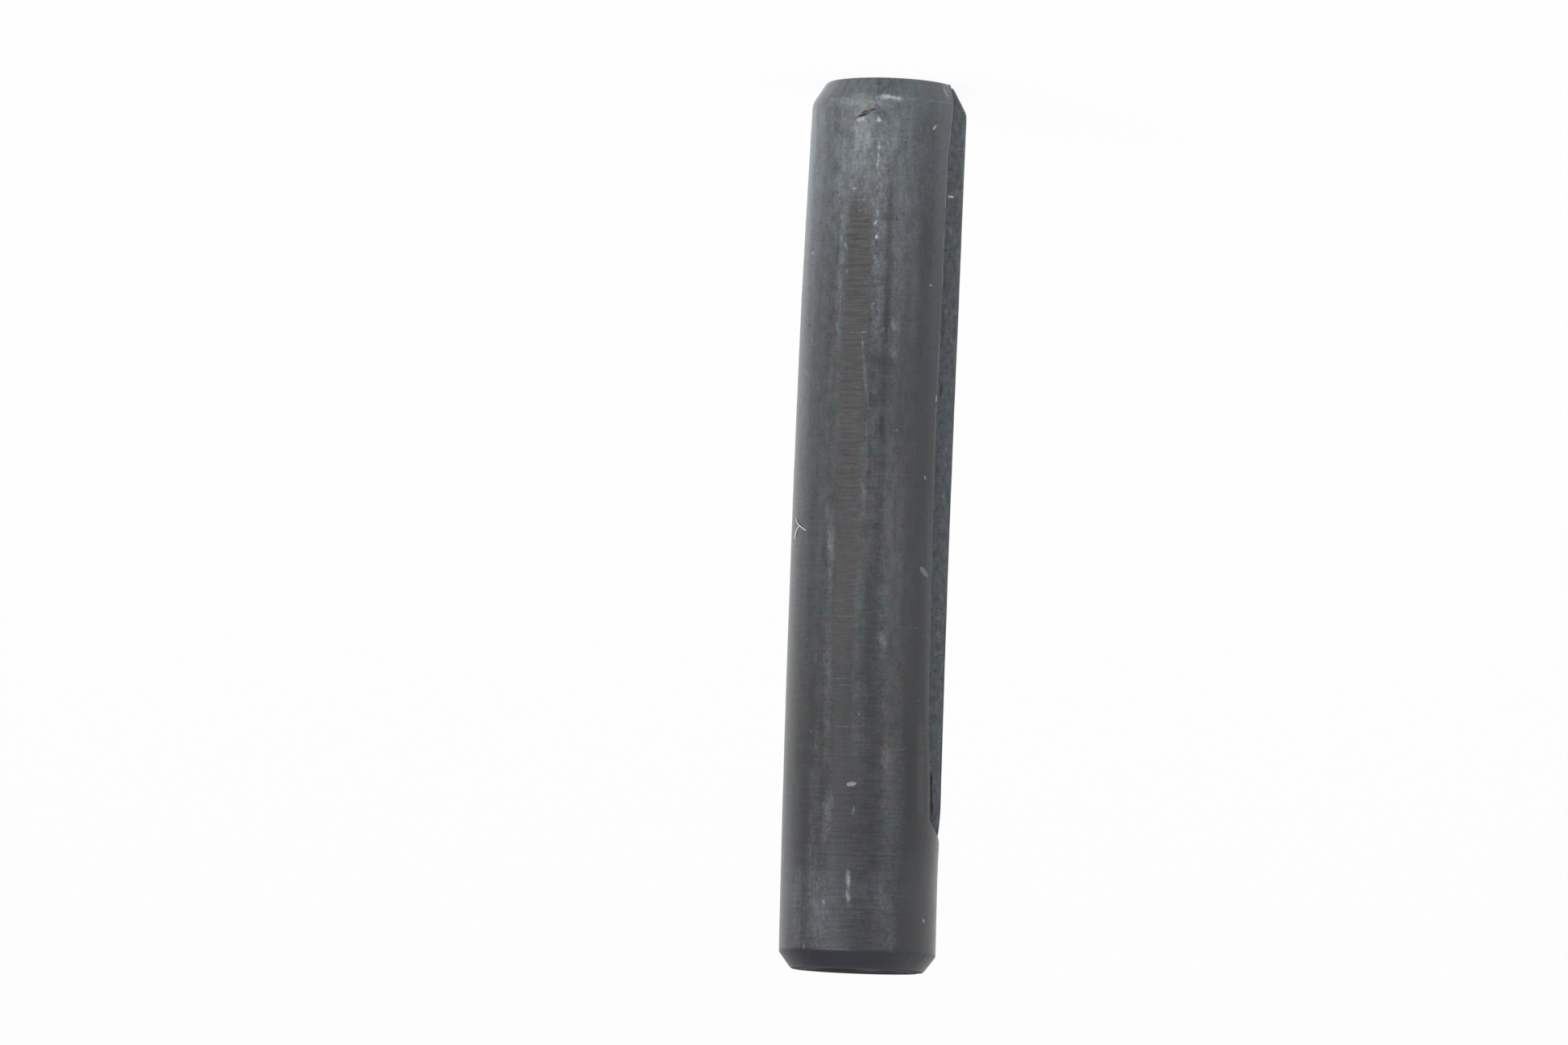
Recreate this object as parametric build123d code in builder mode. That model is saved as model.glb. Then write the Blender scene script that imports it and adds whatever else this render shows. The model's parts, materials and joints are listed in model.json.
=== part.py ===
"""Slotted spring pin: one strip of spring steel rolled into a tube with a lengthwise slot.

It stands on its lead end at z = 0, with its axis on +Z. The slot faces -X, and its far lip is a few
degrees behind that direction. Near the tip the lips were pinched, so the slot turns into a narrow seam
and the pin is slightly thinner there. All sizes are in millimetres, and all angles in degrees.
"""

import os
from math import cos, radians, sin

from build123d import *

# Round section of the relaxed pin
pin_length = 30.0
shank_radius = 2.67
wall = 1.0

# Swaged chamfer at the lead end, and the slight taper that follows it up the shank
lead_chamfer_length = 0.68
lead_chamfer_depth = 0.43
lead_taper_length = 7.4
lead_taper_depth = 0.07

# Chamfer at the tip
tip_chamfer_length = 0.57
tip_chamfer_depth = 0.42

# Pinched stretch, where the whole wall is pressed inwards, measured back from the tip
pinch_depth = 0.08
pinch_starts_before_tip = 6.3
pinch_ends_before_tip = 3.2

# Slot: where the far lip stands about the axis, and how wide the slot is from there to the near lip
far_lip_azimuth = 176.0
far_lip_azimuth_at_lead_end = 180.0
far_lip_azimuth_at_tip = 158.0
slot_angle = 43.0
slot_angle_at_lead_end = 25.0
slot_angle_at_lead_chamfer = 39.0
slot_angle_before_pinch = 40.0
slot_angle_at_tip = 15.0
slot_opens_fully_at = 2.6
pinch_steps = 8

# The slot cutter runs past the ends and past the outside by this much
cutter_margin = 1.0

pinch_start = pin_length - pinch_starts_before_tip
pinch_end = pin_length - pinch_ends_before_tip
lead_radius = shank_radius - lead_taper_depth
lead_face_radius = lead_radius - lead_chamfer_depth
pinched_radius = shank_radius - pinch_depth
tip_face_radius = pinched_radius - tip_chamfer_depth
bore_radius = shank_radius - wall
pinched_bore_radius = pinched_radius - wall
cutter_radius = shank_radius + cutter_margin


def between(start, end, share):
    """The value a share of the way from start to end."""
    return start + (end - start) * share


def eased(share):
    """A share that starts and stops gently."""
    return share * share * (3 - 2 * share)


def pinch_station(step):
    """Height, far lip azimuth and slot angle at one step through the pinch."""
    share = step / pinch_steps
    return (
        between(pinch_start, pinch_end, share),
        between(far_lip_azimuth, far_lip_azimuth_at_tip, eased(share)),
        between(slot_angle_before_pinch, slot_angle_at_tip, eased(share)),
    )


slot_stations = [
    (-cutter_margin, far_lip_azimuth_at_lead_end, slot_angle_at_lead_end),
    (0, far_lip_azimuth_at_lead_end, slot_angle_at_lead_end),
    (lead_chamfer_length, far_lip_azimuth, slot_angle_at_lead_chamfer),
    (slot_opens_fully_at, far_lip_azimuth, slot_angle),
]
slot_stations += [pinch_station(step) for step in range(pinch_steps + 1)]
slot_stations += [(pin_length + cutter_margin, far_lip_azimuth_at_tip, slot_angle_at_tip)]


def on_cutter_rim(azimuth):
    """The point of the cutter's outer edge that stands at an azimuth."""
    return (cutter_radius * cos(radians(azimuth)), cutter_radius * sin(radians(azimuth)))


# The slot is a wedge from the axis outwards, so both lips are cut square to the rolled strip
with BuildPart() as slot_cutter:
    for height, far_lip, opening in slot_stations:
        with BuildSketch(Plane.XY.offset(height)):
            with BuildLine():
                Polyline(
                    (0, 0),
                    on_cutter_rim(far_lip),
                    on_cutter_rim(far_lip + opening),
                    close=True,
                )
            make_face()
    loft(ruled=True)

# The tube is its half section turned about the axis
with BuildPart() as spring_pin:
    with BuildSketch(Plane.XZ):
        with BuildLine():
            Polyline(
                (bore_radius, pinch_start),
                (bore_radius, 0),
                (lead_face_radius, 0),
                (lead_radius, lead_chamfer_length),
                (shank_radius, lead_taper_length),
                (shank_radius, pinch_start),
            )
            Spline(
                (shank_radius, pinch_start),
                (pinched_radius, pinch_end),
                tangents=[(0, 1), (0, 1)],
            )
            Polyline(
                (pinched_radius, pinch_end),
                (pinched_radius, pin_length - tip_chamfer_length),
                (tip_face_radius, pin_length),
                (pinched_bore_radius, pin_length),
                (pinched_bore_radius, pinch_end),
            )
            Spline(
                (pinched_bore_radius, pinch_end),
                (bore_radius, pinch_start),
                tangents=[(0, -1), (0, -1)],
            )
        make_face()
    revolve(axis=Axis.Z)
    add(slot_cutter.part, mode=Mode.SUBTRACT)

spring_pin.part.label = "spring_pin"

os.makedirs("parts", exist_ok=True)
export_step(spring_pin.part, "parts/spring_pin.step")
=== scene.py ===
# %% [markdown]
# # A worn spring pin
# A slotted spring pin is one strip of spring steel, rolled into a tube that doesn't quite close. This
# lesson dresses one in Blender: the strip is rolled by Geometry Nodes, its scars and dust are placed by
# looking through the camera, and its worn black oxide is built from small node groups.

# %% Load the frame
import json
import math
from collections import namedtuple

import bmesh
import bpy
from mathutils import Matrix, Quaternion, Vector
from mathutils.bvhtree import BVHTree

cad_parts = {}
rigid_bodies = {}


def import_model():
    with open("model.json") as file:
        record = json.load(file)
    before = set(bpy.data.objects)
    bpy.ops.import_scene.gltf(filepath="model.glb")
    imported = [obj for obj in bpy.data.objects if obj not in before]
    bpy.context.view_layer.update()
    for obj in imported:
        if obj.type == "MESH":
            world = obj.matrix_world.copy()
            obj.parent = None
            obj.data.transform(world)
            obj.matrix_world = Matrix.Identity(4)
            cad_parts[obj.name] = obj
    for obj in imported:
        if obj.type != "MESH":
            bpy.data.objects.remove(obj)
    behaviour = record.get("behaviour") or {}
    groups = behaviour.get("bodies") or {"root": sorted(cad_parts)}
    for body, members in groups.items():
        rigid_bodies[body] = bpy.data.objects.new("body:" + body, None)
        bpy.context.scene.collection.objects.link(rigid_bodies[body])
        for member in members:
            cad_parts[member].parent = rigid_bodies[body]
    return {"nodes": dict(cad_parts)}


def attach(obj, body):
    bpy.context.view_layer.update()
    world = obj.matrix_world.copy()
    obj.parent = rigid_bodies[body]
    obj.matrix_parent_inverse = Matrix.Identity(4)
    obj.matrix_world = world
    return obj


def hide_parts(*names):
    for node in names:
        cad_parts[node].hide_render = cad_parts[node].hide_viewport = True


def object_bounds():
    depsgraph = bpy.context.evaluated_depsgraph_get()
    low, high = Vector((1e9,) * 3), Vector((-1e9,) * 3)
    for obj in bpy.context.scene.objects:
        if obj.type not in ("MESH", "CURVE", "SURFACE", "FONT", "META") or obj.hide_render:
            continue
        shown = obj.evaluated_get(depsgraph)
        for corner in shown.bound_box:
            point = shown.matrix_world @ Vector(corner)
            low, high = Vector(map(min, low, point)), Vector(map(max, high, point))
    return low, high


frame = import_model()
cad_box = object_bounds()
MM = 0.001
print("nodes in the frame:", sorted(frame["nodes"]))
print("CAD box in mm:", [[round(x / MM, 3) for x in corner] for corner in cad_box])

# %% [markdown]
# ## Sizes
# The real pin was measured once, and its construction holds those sizes. The looks repeat them here in
# millimetres, because the rolled mesh has to fill the same space as the solid that it stands for. Heights
# run up from the end that the pin stands on, which is called the lead end; the other end is the tip.

# %% The pin's sizes
PIN_LENGTH = (cad_box[1].z - cad_box[0].z) / MM
SHANK_RADIUS = cad_box[1].x / MM
WALL = 1.0
LEAD_CHAMFER_LENGTH = 0.74
LEAD_CHAMFER_DEPTH = 0.45
LEAD_TAPER_LENGTH = 7.4
LEAD_TAPER_DEPTH = 0.05
TIP_CHAMFER_LENGTH = 0.57
TIP_CHAMFER_DEPTH = 0.42
PINCH_START = PIN_LENGTH - 5.8
PINCH_END = PIN_LENGTH - 3.0
PINCH_DEPTH = 0.065
BOW = 0.117
print("pin", round(PIN_LENGTH, 2), "mm long,", round(2 * SHANK_RADIUS, 2), "mm across")

# %% [markdown]
# ## The camera
# A long lens far away keeps the pin's sides almost parallel, as a small thing looks when it is
# photographed from a few hand's breadths. The pin stands on its lead end, and the camera hangs nearly
# upside down, so that the lead end is at the top of the picture. The camera is first aimed at the middle
# of the pin, and then turned a little, so that this middle falls on its own place in the picture.

# %% Camera
PICTURE_WIDTH = 1946
PICTURE_HEIGHT = 1297
SENSOR_WIDTH_MM = 36.0
PIN_MIDDLE_IN_PICTURE = (1085.3, 653.8)
CAMERA_DISTANCE_MM = 343.5
CAMERA_ELEVATION = 5.0
CAMERA_ROLL = 182.18
FOCAL_LENGTH_PIXELS = 12640.0
NEAREST_SEEN = 0.01
FARTHEST_SEEN = 20.0
pin_middle = Vector((0, 0, PIN_LENGTH / 2 * MM))


def add_object(name, data):
    """A new object in the scene, from a mesh, a curve, a lamp or a camera."""
    made = bpy.data.objects.new(name, data)
    bpy.context.scene.collection.objects.link(made)
    return made


def aim_camera():
    """Makes the camera, aims it at the pin's middle and turns that middle to its pixel."""
    elevation = math.radians(CAMERA_ELEVATION)
    back = Vector((0, -math.cos(elevation), math.sin(elevation)))
    turn = Quaternion(back, math.radians(CAMERA_ROLL)) @ back.to_track_quat("Z", "Y")
    yaw = math.atan((PIN_MIDDLE_IN_PICTURE[0] - PICTURE_WIDTH / 2) / FOCAL_LENGTH_PIXELS)
    pitch = math.atan((PIN_MIDDLE_IN_PICTURE[1] - PICTURE_HEIGHT / 2) / FOCAL_LENGTH_PIXELS)
    made = add_object("camera", bpy.data.cameras.new("camera"))
    made.data.sensor_width = SENSOR_WIDTH_MM
    made.data.lens = FOCAL_LENGTH_PIXELS / PICTURE_WIDTH * SENSOR_WIDTH_MM
    made.data.clip_start = NEAREST_SEEN
    made.data.clip_end = FARTHEST_SEEN
    made.location = pin_middle + back * CAMERA_DISTANCE_MM * MM
    made.rotation_mode = "QUATERNION"
    made.rotation_quaternion = turn @ Quaternion((0, 1, 0), yaw) @ Quaternion((1, 0, 0), pitch)
    bpy.context.scene.camera = made
    return made


camera = aim_camera()
bpy.context.view_layer.update()
print("lens", round(camera.data.lens, 1), "mm; camera at", [round(x, 4) for x in camera.location])

# %% [markdown]
# ## Arithmetic that adds nodes
# Geometry trees and shader trees are both wired from many small calculations. Written node by node, a
# formula drowns in its own wiring. So a node's output is wrapped in a small class, and plain arithmetic
# on it adds the Math nodes: `radius - wall` adds one Subtract node and gives its output.

# %% Wires
def operator(operation, swapped=False):
    """A method that adds one Math node for a wire and one other value."""
    def method(self, other):
        return calc(operation, other, self) if swapped else calc(operation, self, other)
    return method


class Wire:
    """A node's output. Arithmetic on wires adds Math nodes to their tree."""

    __add__, __radd__ = operator("ADD"), operator("ADD", swapped=True)
    __sub__, __rsub__ = operator("SUBTRACT"), operator("SUBTRACT", swapped=True)
    __mul__, __rmul__ = operator("MULTIPLY"), operator("MULTIPLY", swapped=True)
    __truediv__, __pow__ = operator("DIVIDE"), operator("POWER")

    def __init__(self, socket):
        self.socket = socket
        self.tree = socket.id_data

    def __abs__(self):
        return calc("ABSOLUTE", self)


print("arithmetic on wires: + - * / ** and abs")

# %% [markdown]
# ## Adding nodes
# Every node is added in the same way: make it, choose its settings, and give each input a wire or a value
# of its own. A node's tree is known from the wires that go in, so it only has to be named for the first
# nodes of a tree.

# %% Adding nodes
def feed(socket, value):
    """Links a socket to a wire, or sets its own value. A colour gets its alpha."""
    if isinstance(value, Wire):
        socket.id_data.links.new(value.socket, socket)
    elif socket.type == "RGBA":
        socket.default_value = (*value, 1.0)
    else:
        socket.default_value = value


def add_node(tree, kind, inputs=None, **settings):
    """Adds a node, with its settings and its inputs by name or number."""
    node = tree.nodes.new(kind)
    for name, value in settings.items():
        setattr(node, name, value)
    for key, value in (inputs or {}).items():
        feed(node.inputs[key], value)
    return node


def wire(kind, inputs, output=0, **settings):
    """Adds a node to the tree that its inputs come from, and gives one of its outputs."""
    tree = next(value.tree for value in inputs.values() if isinstance(value, Wire))
    return Wire(add_node(tree, kind, inputs, **settings).outputs[output])


def calc(operation, *values):
    """One Math node on wires and numbers."""
    return wire("ShaderNodeMath", dict(enumerate(values)), operation=operation)


print("four functions add nodes:", ", ".join(f.__name__ for f in (feed, add_node, wire, calc)))

# %% [markdown]
# ## Small helpers for node trees
# A few calculations come back in every tree: a value that changes evenly between two places, the smallest
# of several distances, a vector made or split, and noise. Each gets a short function of its own.

# %% Node helpers
def ramp(value, start, end, low, high, kind="LINEAR", clamp=True):
    """A Map Range node: from low at start to high at end, and level outside unless clamp is off."""
    inputs = {"Value": value, "From Min": start, "From Max": end, "To Min": low, "To Max": high}
    return wire("ShaderNodeMapRange", inputs, interpolation_type=kind, clamp=clamp)


def least(first, *others):
    """The smallest of several wires."""
    for other in others:
        first = calc("MINIMUM", first, other)
    return first


def vector(x, y, z):
    """A vector of three values."""
    return wire("ShaderNodeCombineXYZ", {0: x, 1: y, 2: z})


def split(value):
    """The three values of a vector."""
    node = add_node(value.tree, "ShaderNodeSeparateXYZ", {0: value})
    return [Wire(socket) for socket in node.outputs]


def scaled(value, factor):
    """A vector or a colour times a number."""
    return wire("ShaderNodeVectorMath", {0: value, "Scale": factor}, operation="SCALE")


def blend(operation, first, second):
    """A Vector Math node on two vectors or colours."""
    return wire("ShaderNodeVectorMath", {0: first, 1: second}, operation=operation)


def noise(place, scale, detail=2.0, roughness=0.5):
    """A Noise Texture's value, from 0 to 1."""
    inputs = {"Vector": place, "Scale": scale, "Detail": detail, "Roughness": roughness}
    return wire("ShaderNodeTexNoise", inputs)


def swing(place, scale, detail=2.0, roughness=0.5):
    """The same noise about zero, from -1 to 1."""
    return (noise(place, scale, detail, roughness) - 0.5) * 2.0


print("node helpers ready")

# %% [markdown]
# ## Node groups
# A node group is a tree with named sockets. Those of a geometry tree hold a piece's sizes, and those of a
# shader group let one effect be placed many times with its own values. Here a group is described by a
# dictionary: a number makes a number socket with that default, and a word names another kind of socket.

# %% Groups with named inputs
NUMBER_SOCKETS = {float: "NodeSocketFloat", int: "NodeSocketInt"}
GEOMETRY = {"Geometry": "NodeSocketGeometry"}
MATERIAL = {"Material": "NodeSocketMaterial"}


def new_group(name, kind, inputs, outputs):
    """A node group, with wires from its inputs and the sockets of its outputs, both by name."""
    tree = bpy.data.node_groups.new(name, kind)
    for label, value in inputs.items():
        is_number = type(value) in NUMBER_SOCKETS
        socket_type = NUMBER_SOCKETS[type(value)] if is_number else value
        socket = tree.interface.new_socket(label, in_out="INPUT", socket_type=socket_type)
        if is_number:
            socket.default_value = value
    for label, socket_type in outputs.items():
        tree.interface.new_socket(label, in_out="OUTPUT", socket_type=socket_type)
    given = {socket.name: Wire(socket) for socket in tree.nodes.new("NodeGroupInput").outputs}
    return tree, given, tree.nodes.new("NodeGroupOutput").inputs


def use_group(group, inputs):
    """Places a group with its own values, and gives its first output."""
    kind = "ShaderNodeGroup" if group.bl_idname == "ShaderNodeTree" else "GeometryNodeGroup"
    return wire(kind, inputs, node_tree=group)


print("number sockets:", sorted(NUMBER_SOCKETS.values()))

# %% [markdown]
# ## Rolling the strip: the outside
# The factory starts from a flat strip, so the mesh does too: a flat block of many small faces, whose width
# becomes the girth of the pin. Geometry Nodes bend it. The outside follows a rule in height: a chamfer, a
# slight taper, the full shank, a neck where the lips were pinched, and a second chamfer. Each is a straight
# line, and a smooth minimum joins them, which rounds the borders as years of handling do. A curve drawn by
# hand and spun would be shorter, but it couldn't wobble round the girth or neck down on one side.

# %% The outside of the pin
OUTSIDE_SIZES = {
    "Length": PIN_LENGTH,
    "Shank Radius": SHANK_RADIUS,
    "Wall": WALL,
    "Lead Chamfer Length": LEAD_CHAMFER_LENGTH,
    "Lead Chamfer Depth": LEAD_CHAMFER_DEPTH,
    "Lead Taper Length": LEAD_TAPER_LENGTH,
    "Lead Taper Depth": LEAD_TAPER_DEPTH,
    "Tip Chamfer Length": TIP_CHAMFER_LENGTH,
    "Tip Chamfer Depth": TIP_CHAMFER_DEPTH,
    "Pinch Start": PINCH_START,
    "Pinch End": PINCH_END,
    "Pinch Depth": PINCH_DEPTH,
    "Bow": BOW,
    "Lead Border Softness": 0.13,
    "Tip Border Softness": 0.04,
    "Chamfer Wobble": 0.035,
    "Far Corner Wear": 0.07,
    "Far Corner Share": 0.07,
}
WOBBLES_ROUND_THE_PIN = 9.0
WOBBLE_NOISE = {"scale": 1.0, "detail": 4.0, "roughness": 0.65}


def outside_line(given, height, girth_share, height_share):
    """The radius of the pin's outside, and how far the pinch has pressed the wall in."""
    wobble_place = vector(girth_share * WOBBLES_ROUND_THE_PIN, height_share, 0.0)
    wobble = swing(wobble_place, **WOBBLE_NOISE) * given["Chamfer Wobble"]
    neck = ramp(height, given["Pinch Start"], given["Pinch End"], 0.0, given["Pinch Depth"], "SMOOTHSTEP")
    neck = neck * abs(ramp(girth_share, 0.0, 1.0, -1.0, 1.0))

    shank_radius, lead_length = given["Shank Radius"], given["Lead Chamfer Length"]
    lead_radius = shank_radius - given["Lead Taper Depth"]
    lead_face = lead_radius - given["Lead Chamfer Depth"]
    lead_line = ramp(height, 0.0, lead_length, lead_face, lead_radius, clamp=False) + wobble
    lead_line = lead_line - ramp(girth_share, 0.0, given["Far Corner Share"], given["Far Corner Wear"], 0.0)
    outside = ramp(height, lead_length, given["Lead Taper Length"], lead_radius, shank_radius) - neck
    outside = calc("SMOOTH_MIN", outside, lead_line, given["Lead Border Softness"])

    tip_start = given["Length"] - given["Tip Chamfer Length"]
    tip_fall = ramp(height, tip_start, given["Length"], 0.0, given["Tip Chamfer Depth"], clamp=False)
    tip_line = shank_radius - neck - tip_fall + wobble
    return calc("SMOOTH_MIN", outside, tip_line, given["Tip Border Softness"]), neck


print("sizes of the outside:", len(OUTSIDE_SIZES))

# %% [markdown]
# ## Rolling the strip: the slot
# On the real pin the slot is narrower at the swaged lead end, nearly keeps its width along the shank, and
# closes to a seam where the tip was pinched, while the far lip swings round. The slot's width is the
# sum of these few changes, each of which runs between two heights. All angles are in degrees.

# %% The two lips of the slot
SLOT_SIZES = {
    "Far Lip Azimuth": 176.0,
    "Far Lip Turn At Lead End": 4.0,
    "Far Lip Turn At Tip": -18.0,
    "Slot Angle At Lead End": 25.0,
    "Slot Opens In Chamfer": 14.0,
    "Slot Opens After Chamfer": 4.0,
    "Slot Opens Fully At": 2.6,
    "Slot Closing Start": 13.0,
    "Slot Closing End": 21.5,
    "Slot Closes Along Shank": -4.0,
    "Narrowing Start": 21.4,
    "Narrowing End": 24.4,
    "Slot Closes In Narrowing": -4.5,
    "Seam Start": 24.8,
    "Seam End": 26.0,
    "Slot Closes To Seam": -37.5,
}


def change(given, height, start, end, amount, kind="LINEAR"):
    """A change from nothing at one height to an amount at another, all by their names."""
    return ramp(height, given[start], given[end], 0.0, given[amount], kind)


def slot_lines(given, height):
    """The far lip's azimuth and the slot's opening at a height, in degrees."""
    lead_length, smooth = given["Lead Chamfer Length"], "SMOOTHSTEP"
    lead_turn = ramp(height, 0.0, lead_length, given["Far Lip Turn At Lead End"], 0.0)
    far_turn = change(given, height, "Pinch Start", "Pinch End", "Far Lip Turn At Tip", smooth)
    opening = (
        given["Slot Angle At Lead End"]
        + ramp(height, 0.0, lead_length, 0.0, given["Slot Opens In Chamfer"])
        + change(given, height, "Lead Chamfer Length", "Slot Opens Fully At", "Slot Opens After Chamfer")
        + change(given, height, "Slot Closing Start", "Slot Closing End", "Slot Closes Along Shank")
        + change(given, height, "Narrowing Start", "Narrowing End", "Slot Closes In Narrowing", smooth)
        + change(given, height, "Seam Start", "Seam End", "Slot Closes To Seam", smooth)
    )
    return given["Far Lip Azimuth"] + lead_turn + far_turn, opening - far_turn


print("sizes of the slot:", len(SLOT_SIZES))

# %% [markdown]
# ## Rolling the strip: rows, columns and corners
# Points are wanted most beside the lips, the ends and the skin, so the rows and columns of the block are
# drawn towards its sides by a sine. The block's sharp corners then fall back a little towards the middle
# of their own face, because tumbling at the factory took the edge off every one of them.

# %% Crowded rows and soft corners
CROWDING_SIZES = {
    "Column Crowding": 0.35,
    "Row Crowding": 0.45,
    "Wall Crowding": 0.6,
    "Corner Softness": 0.06,
}
CORNER_FALL_PER_SOFTNESS = 0.3
Gaps = namedtuple("Gaps", "near far end depth skin")


def crowd(share, crowding):
    """Draws the points of a share from 0 to 1 towards both of its ends."""
    wave = calc("SINE", share * math.tau)
    return share - wave * crowding * (1 / math.tau)


def corner(gap, softness):
    """How far a surface falls back next to a corner that is a gap away."""
    return ramp(gap, 0.0, softness, softness * CORNER_FALL_PER_SOFTNESS, 0.0)


def inward(share, fall, sharpness):
    """A move towards the middle of a side, only for the points at its two ends."""
    side = ramp(share, 0.0, 1.0, 1.0, -1.0)
    return fall * side * abs(side) ** sharpness


def edge_gaps(given, girth_share, girth, height, outside, inside, radius):
    """How far a point is from every edge of the strip, in millimetres."""
    girth_mm = girth * given["Shank Radius"]
    far = girth_share * girth_mm
    depth = outside - radius
    end = least(height, given["Length"] - height)
    return Gaps(girth_mm - far, far, end, depth, least(depth, radius - inside))


ROLL_SIZES = {**OUTSIDE_SIZES, **SLOT_SIZES, **CROWDING_SIZES}
print("sizes of the rolled strip:", len(ROLL_SIZES))

# %% [markdown]
# ## Notes on the points
# The finish has to follow the strip and not the room, so the trees write down where each point lies on
# the strip, under a name that a later tree or a material reads. Every tree ends in the same three steps:
# smooth shading, real instances, since an exported file keeps no instances, and a material.

# %% Writing, reading and ending
def store(geometry, name, value):
    """Writes a vector on every point under a name."""
    inputs = {"Geometry": geometry, "Name": name, "Value": value}
    settings = {"data_type": "FLOAT_VECTOR", "domain": "POINT"}
    return wire("GeometryNodeStoreNamedAttribute", inputs, **settings)


def read_attribute(tree, name):
    """A vector that an earlier step wrote on the points."""
    inputs = {"Name": name}
    node = add_node(tree, "GeometryNodeInputNamedAttribute", inputs, data_type="FLOAT_VECTOR")
    return Wire(node.outputs["Attribute"])


def finish_tree(geometry, material, out):
    """Ends a geometry tree: smooth shading, real instances and a material."""
    smooth = wire("GeometryNodeSetShadeSmooth", {"Geometry": geometry})
    real = wire("GeometryNodeRealizeInstances", {"Geometry": smooth})
    feed(out["Geometry"], wire("GeometryNodeSetMaterial", {"Geometry": real, "Material": material}))


print("the strip writes three notes: strip, lips and cell")

# %% [markdown]
# ## Rolling the strip: the tree
# Across the block runs the share of the girth, up the block runs the length, and through it runs the
# wall. The tree turns these three shares into an azimuth, a height and a radius, softens the corners, and
# only then bends the whole into a tube.

# %% The tree that rolls the strip
GIRTH_FACES = 200
WALL_FACES = 8
LENGTH_FACES = 400
SHARPNESS_AT_LIP = 40.0
SHARPNESS_AT_END = 400.0
FULL_TURN = 360.0


def roll_tree():
    """The Geometry Nodes tree that rolls a flat block into the pin. Its sizes are in millimetres."""
    inputs = {**ROLL_SIZES, **MATERIAL}
    tree, given, out = new_group("Roll the strip", "GeometryNodeTree", inputs, GEOMETRY)
    counts = {"Vertices X": GIRTH_FACES + 1, "Vertices Y": WALL_FACES + 1, "Vertices Z": LENGTH_FACES + 1}
    block = Wire(add_node(tree, "GeometryNodeMeshCube", counts).outputs["Mesh"])
    place = Wire(add_node(tree, "GeometryNodeInputPosition").outputs[0])
    across, through, along = (part + 0.5 for part in split(place))
    girth_share = crowd(across, given["Column Crowding"])
    wall_share = crowd(through, given["Wall Crowding"])
    height_share = crowd(along, given["Row Crowding"])
    height = height_share * given["Length"]

    outside, neck = outside_line(given, height, girth_share, height_share)
    inside = given["Shank Radius"] - given["Wall"] - neck
    radius = inside + (outside - inside) * wall_share
    far_lip, opening = slot_lines(given, height)
    girth = calc("RADIANS", FULL_TURN - opening)
    azimuth = calc("RADIANS", far_lip + FULL_TURN) - girth_share * girth

    gaps = edge_gaps(given, girth_share, girth, height, outside, inside, radius)
    soft = given["Corner Softness"]
    fall = corner(least(gaps.far, gaps.near, gaps.end), soft)
    radius = radius + fall * ramp(wall_share, 0.0, 1.0, 1.0, -1.0)
    side_fall = corner(least(gaps.skin, gaps.end), soft) / given["Shank Radius"]
    turned = azimuth - inward(girth_share, side_fall, SHARPNESS_AT_LIP)
    end_fall = corner(least(gaps.skin, gaps.far, gaps.near), soft)
    level = height + inward(height_share, end_fall, SHARPNESS_AT_END)

    bow = height_share * (1.0 - height_share) * 4.0 * given["Bow"]
    x = radius * calc("COSINE", turned) + bow
    y = radius * calc("SINE", turned)
    rolled_place = scaled(vector(x, y, level), MM)
    arc = azimuth * given["Shank Radius"]
    geometry = store(block, "strip", vector(arc, height, gaps.depth))
    geometry = store(geometry, "lips", vector(gaps.near, gaps.far, wall_share))
    cell = vector(across * float(GIRTH_FACES), along * float(LENGTH_FACES), 0.0)
    geometry = store(geometry, "cell", cell)
    moved = wire("GeometryNodeSetPosition", {"Geometry": geometry, "Position": rolled_place})
    finish_tree(moved, given["Material"], out)
    return tree


roll = roll_tree()
print("roll tree:", len(roll.nodes), "nodes")

# %% [markdown]
# ## From tree to mesh
# A modifier runs a tree on an object. Its inputs are set by their identifiers, because two sockets may
# share a name. The evaluated result is then copied into a plain mesh, and the modifier is gone.

# %% Running a tree
def plain_copy(carrier, name):
    """A plain object of a carrier's evaluated shape. The carrier is removed."""
    graph = bpy.context.evaluated_depsgraph_get()
    mesh = bpy.data.meshes.new_from_object(carrier.evaluated_get(graph))
    mesh.name = name
    bpy.data.objects.remove(carrier)
    return add_object(name, mesh)


def run_tree(name, tree, values, start=None):
    """Runs a geometry tree on a mesh, or on an empty one, and returns a plain object of the result."""
    carrier = add_object("carrier", start or bpy.data.meshes.new("carrier"))
    modifier = carrier.modifiers.new(tree.name, "NODES")
    modifier.node_group = tree
    for item in tree.interface.items_tree:
        if item.item_type == "SOCKET" and item.in_out == "INPUT" and item.name in values:
            modifier[item.identifier] = values[item.name]
    carrier.update_tag()
    return plain_copy(carrier, name)


oxide = bpy.data.materials.new("black_oxide_steel")
oxide.use_nodes = True
rolled = run_tree("rolled", roll, {**ROLL_SIZES, "Material": oxide})
print("rolled:", len(rolled.data.vertices), "points,", len(rolled.data.polygons), "faces")

# %% [markdown]
# ## Looking through the camera
# Scars and dust belong where the photograph shows them. A ray from the camera through a pixel meets the
# rolled pin at one point, and that point also has a place on the flat strip: how far round, and how high.

# %% From a pixel to the pin
pin_surface = BVHTree.FromObject(rolled, bpy.context.evaluated_depsgraph_get())


def seen_at(pixel):
    """The point of the pin that a pixel of the photograph shows, and the outward direction there."""
    x = (pixel[0] - PICTURE_WIDTH / 2) / FOCAL_LENGTH_PIXELS
    y = (PICTURE_HEIGHT / 2 - pixel[1]) / FOCAL_LENGTH_PIXELS
    direction = camera.matrix_world.to_3x3() @ Vector((x, y, -1))
    point, normal, _, _ = pin_surface.ray_cast(camera.matrix_world.translation, direction.normalized())
    return point, normal


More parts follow.
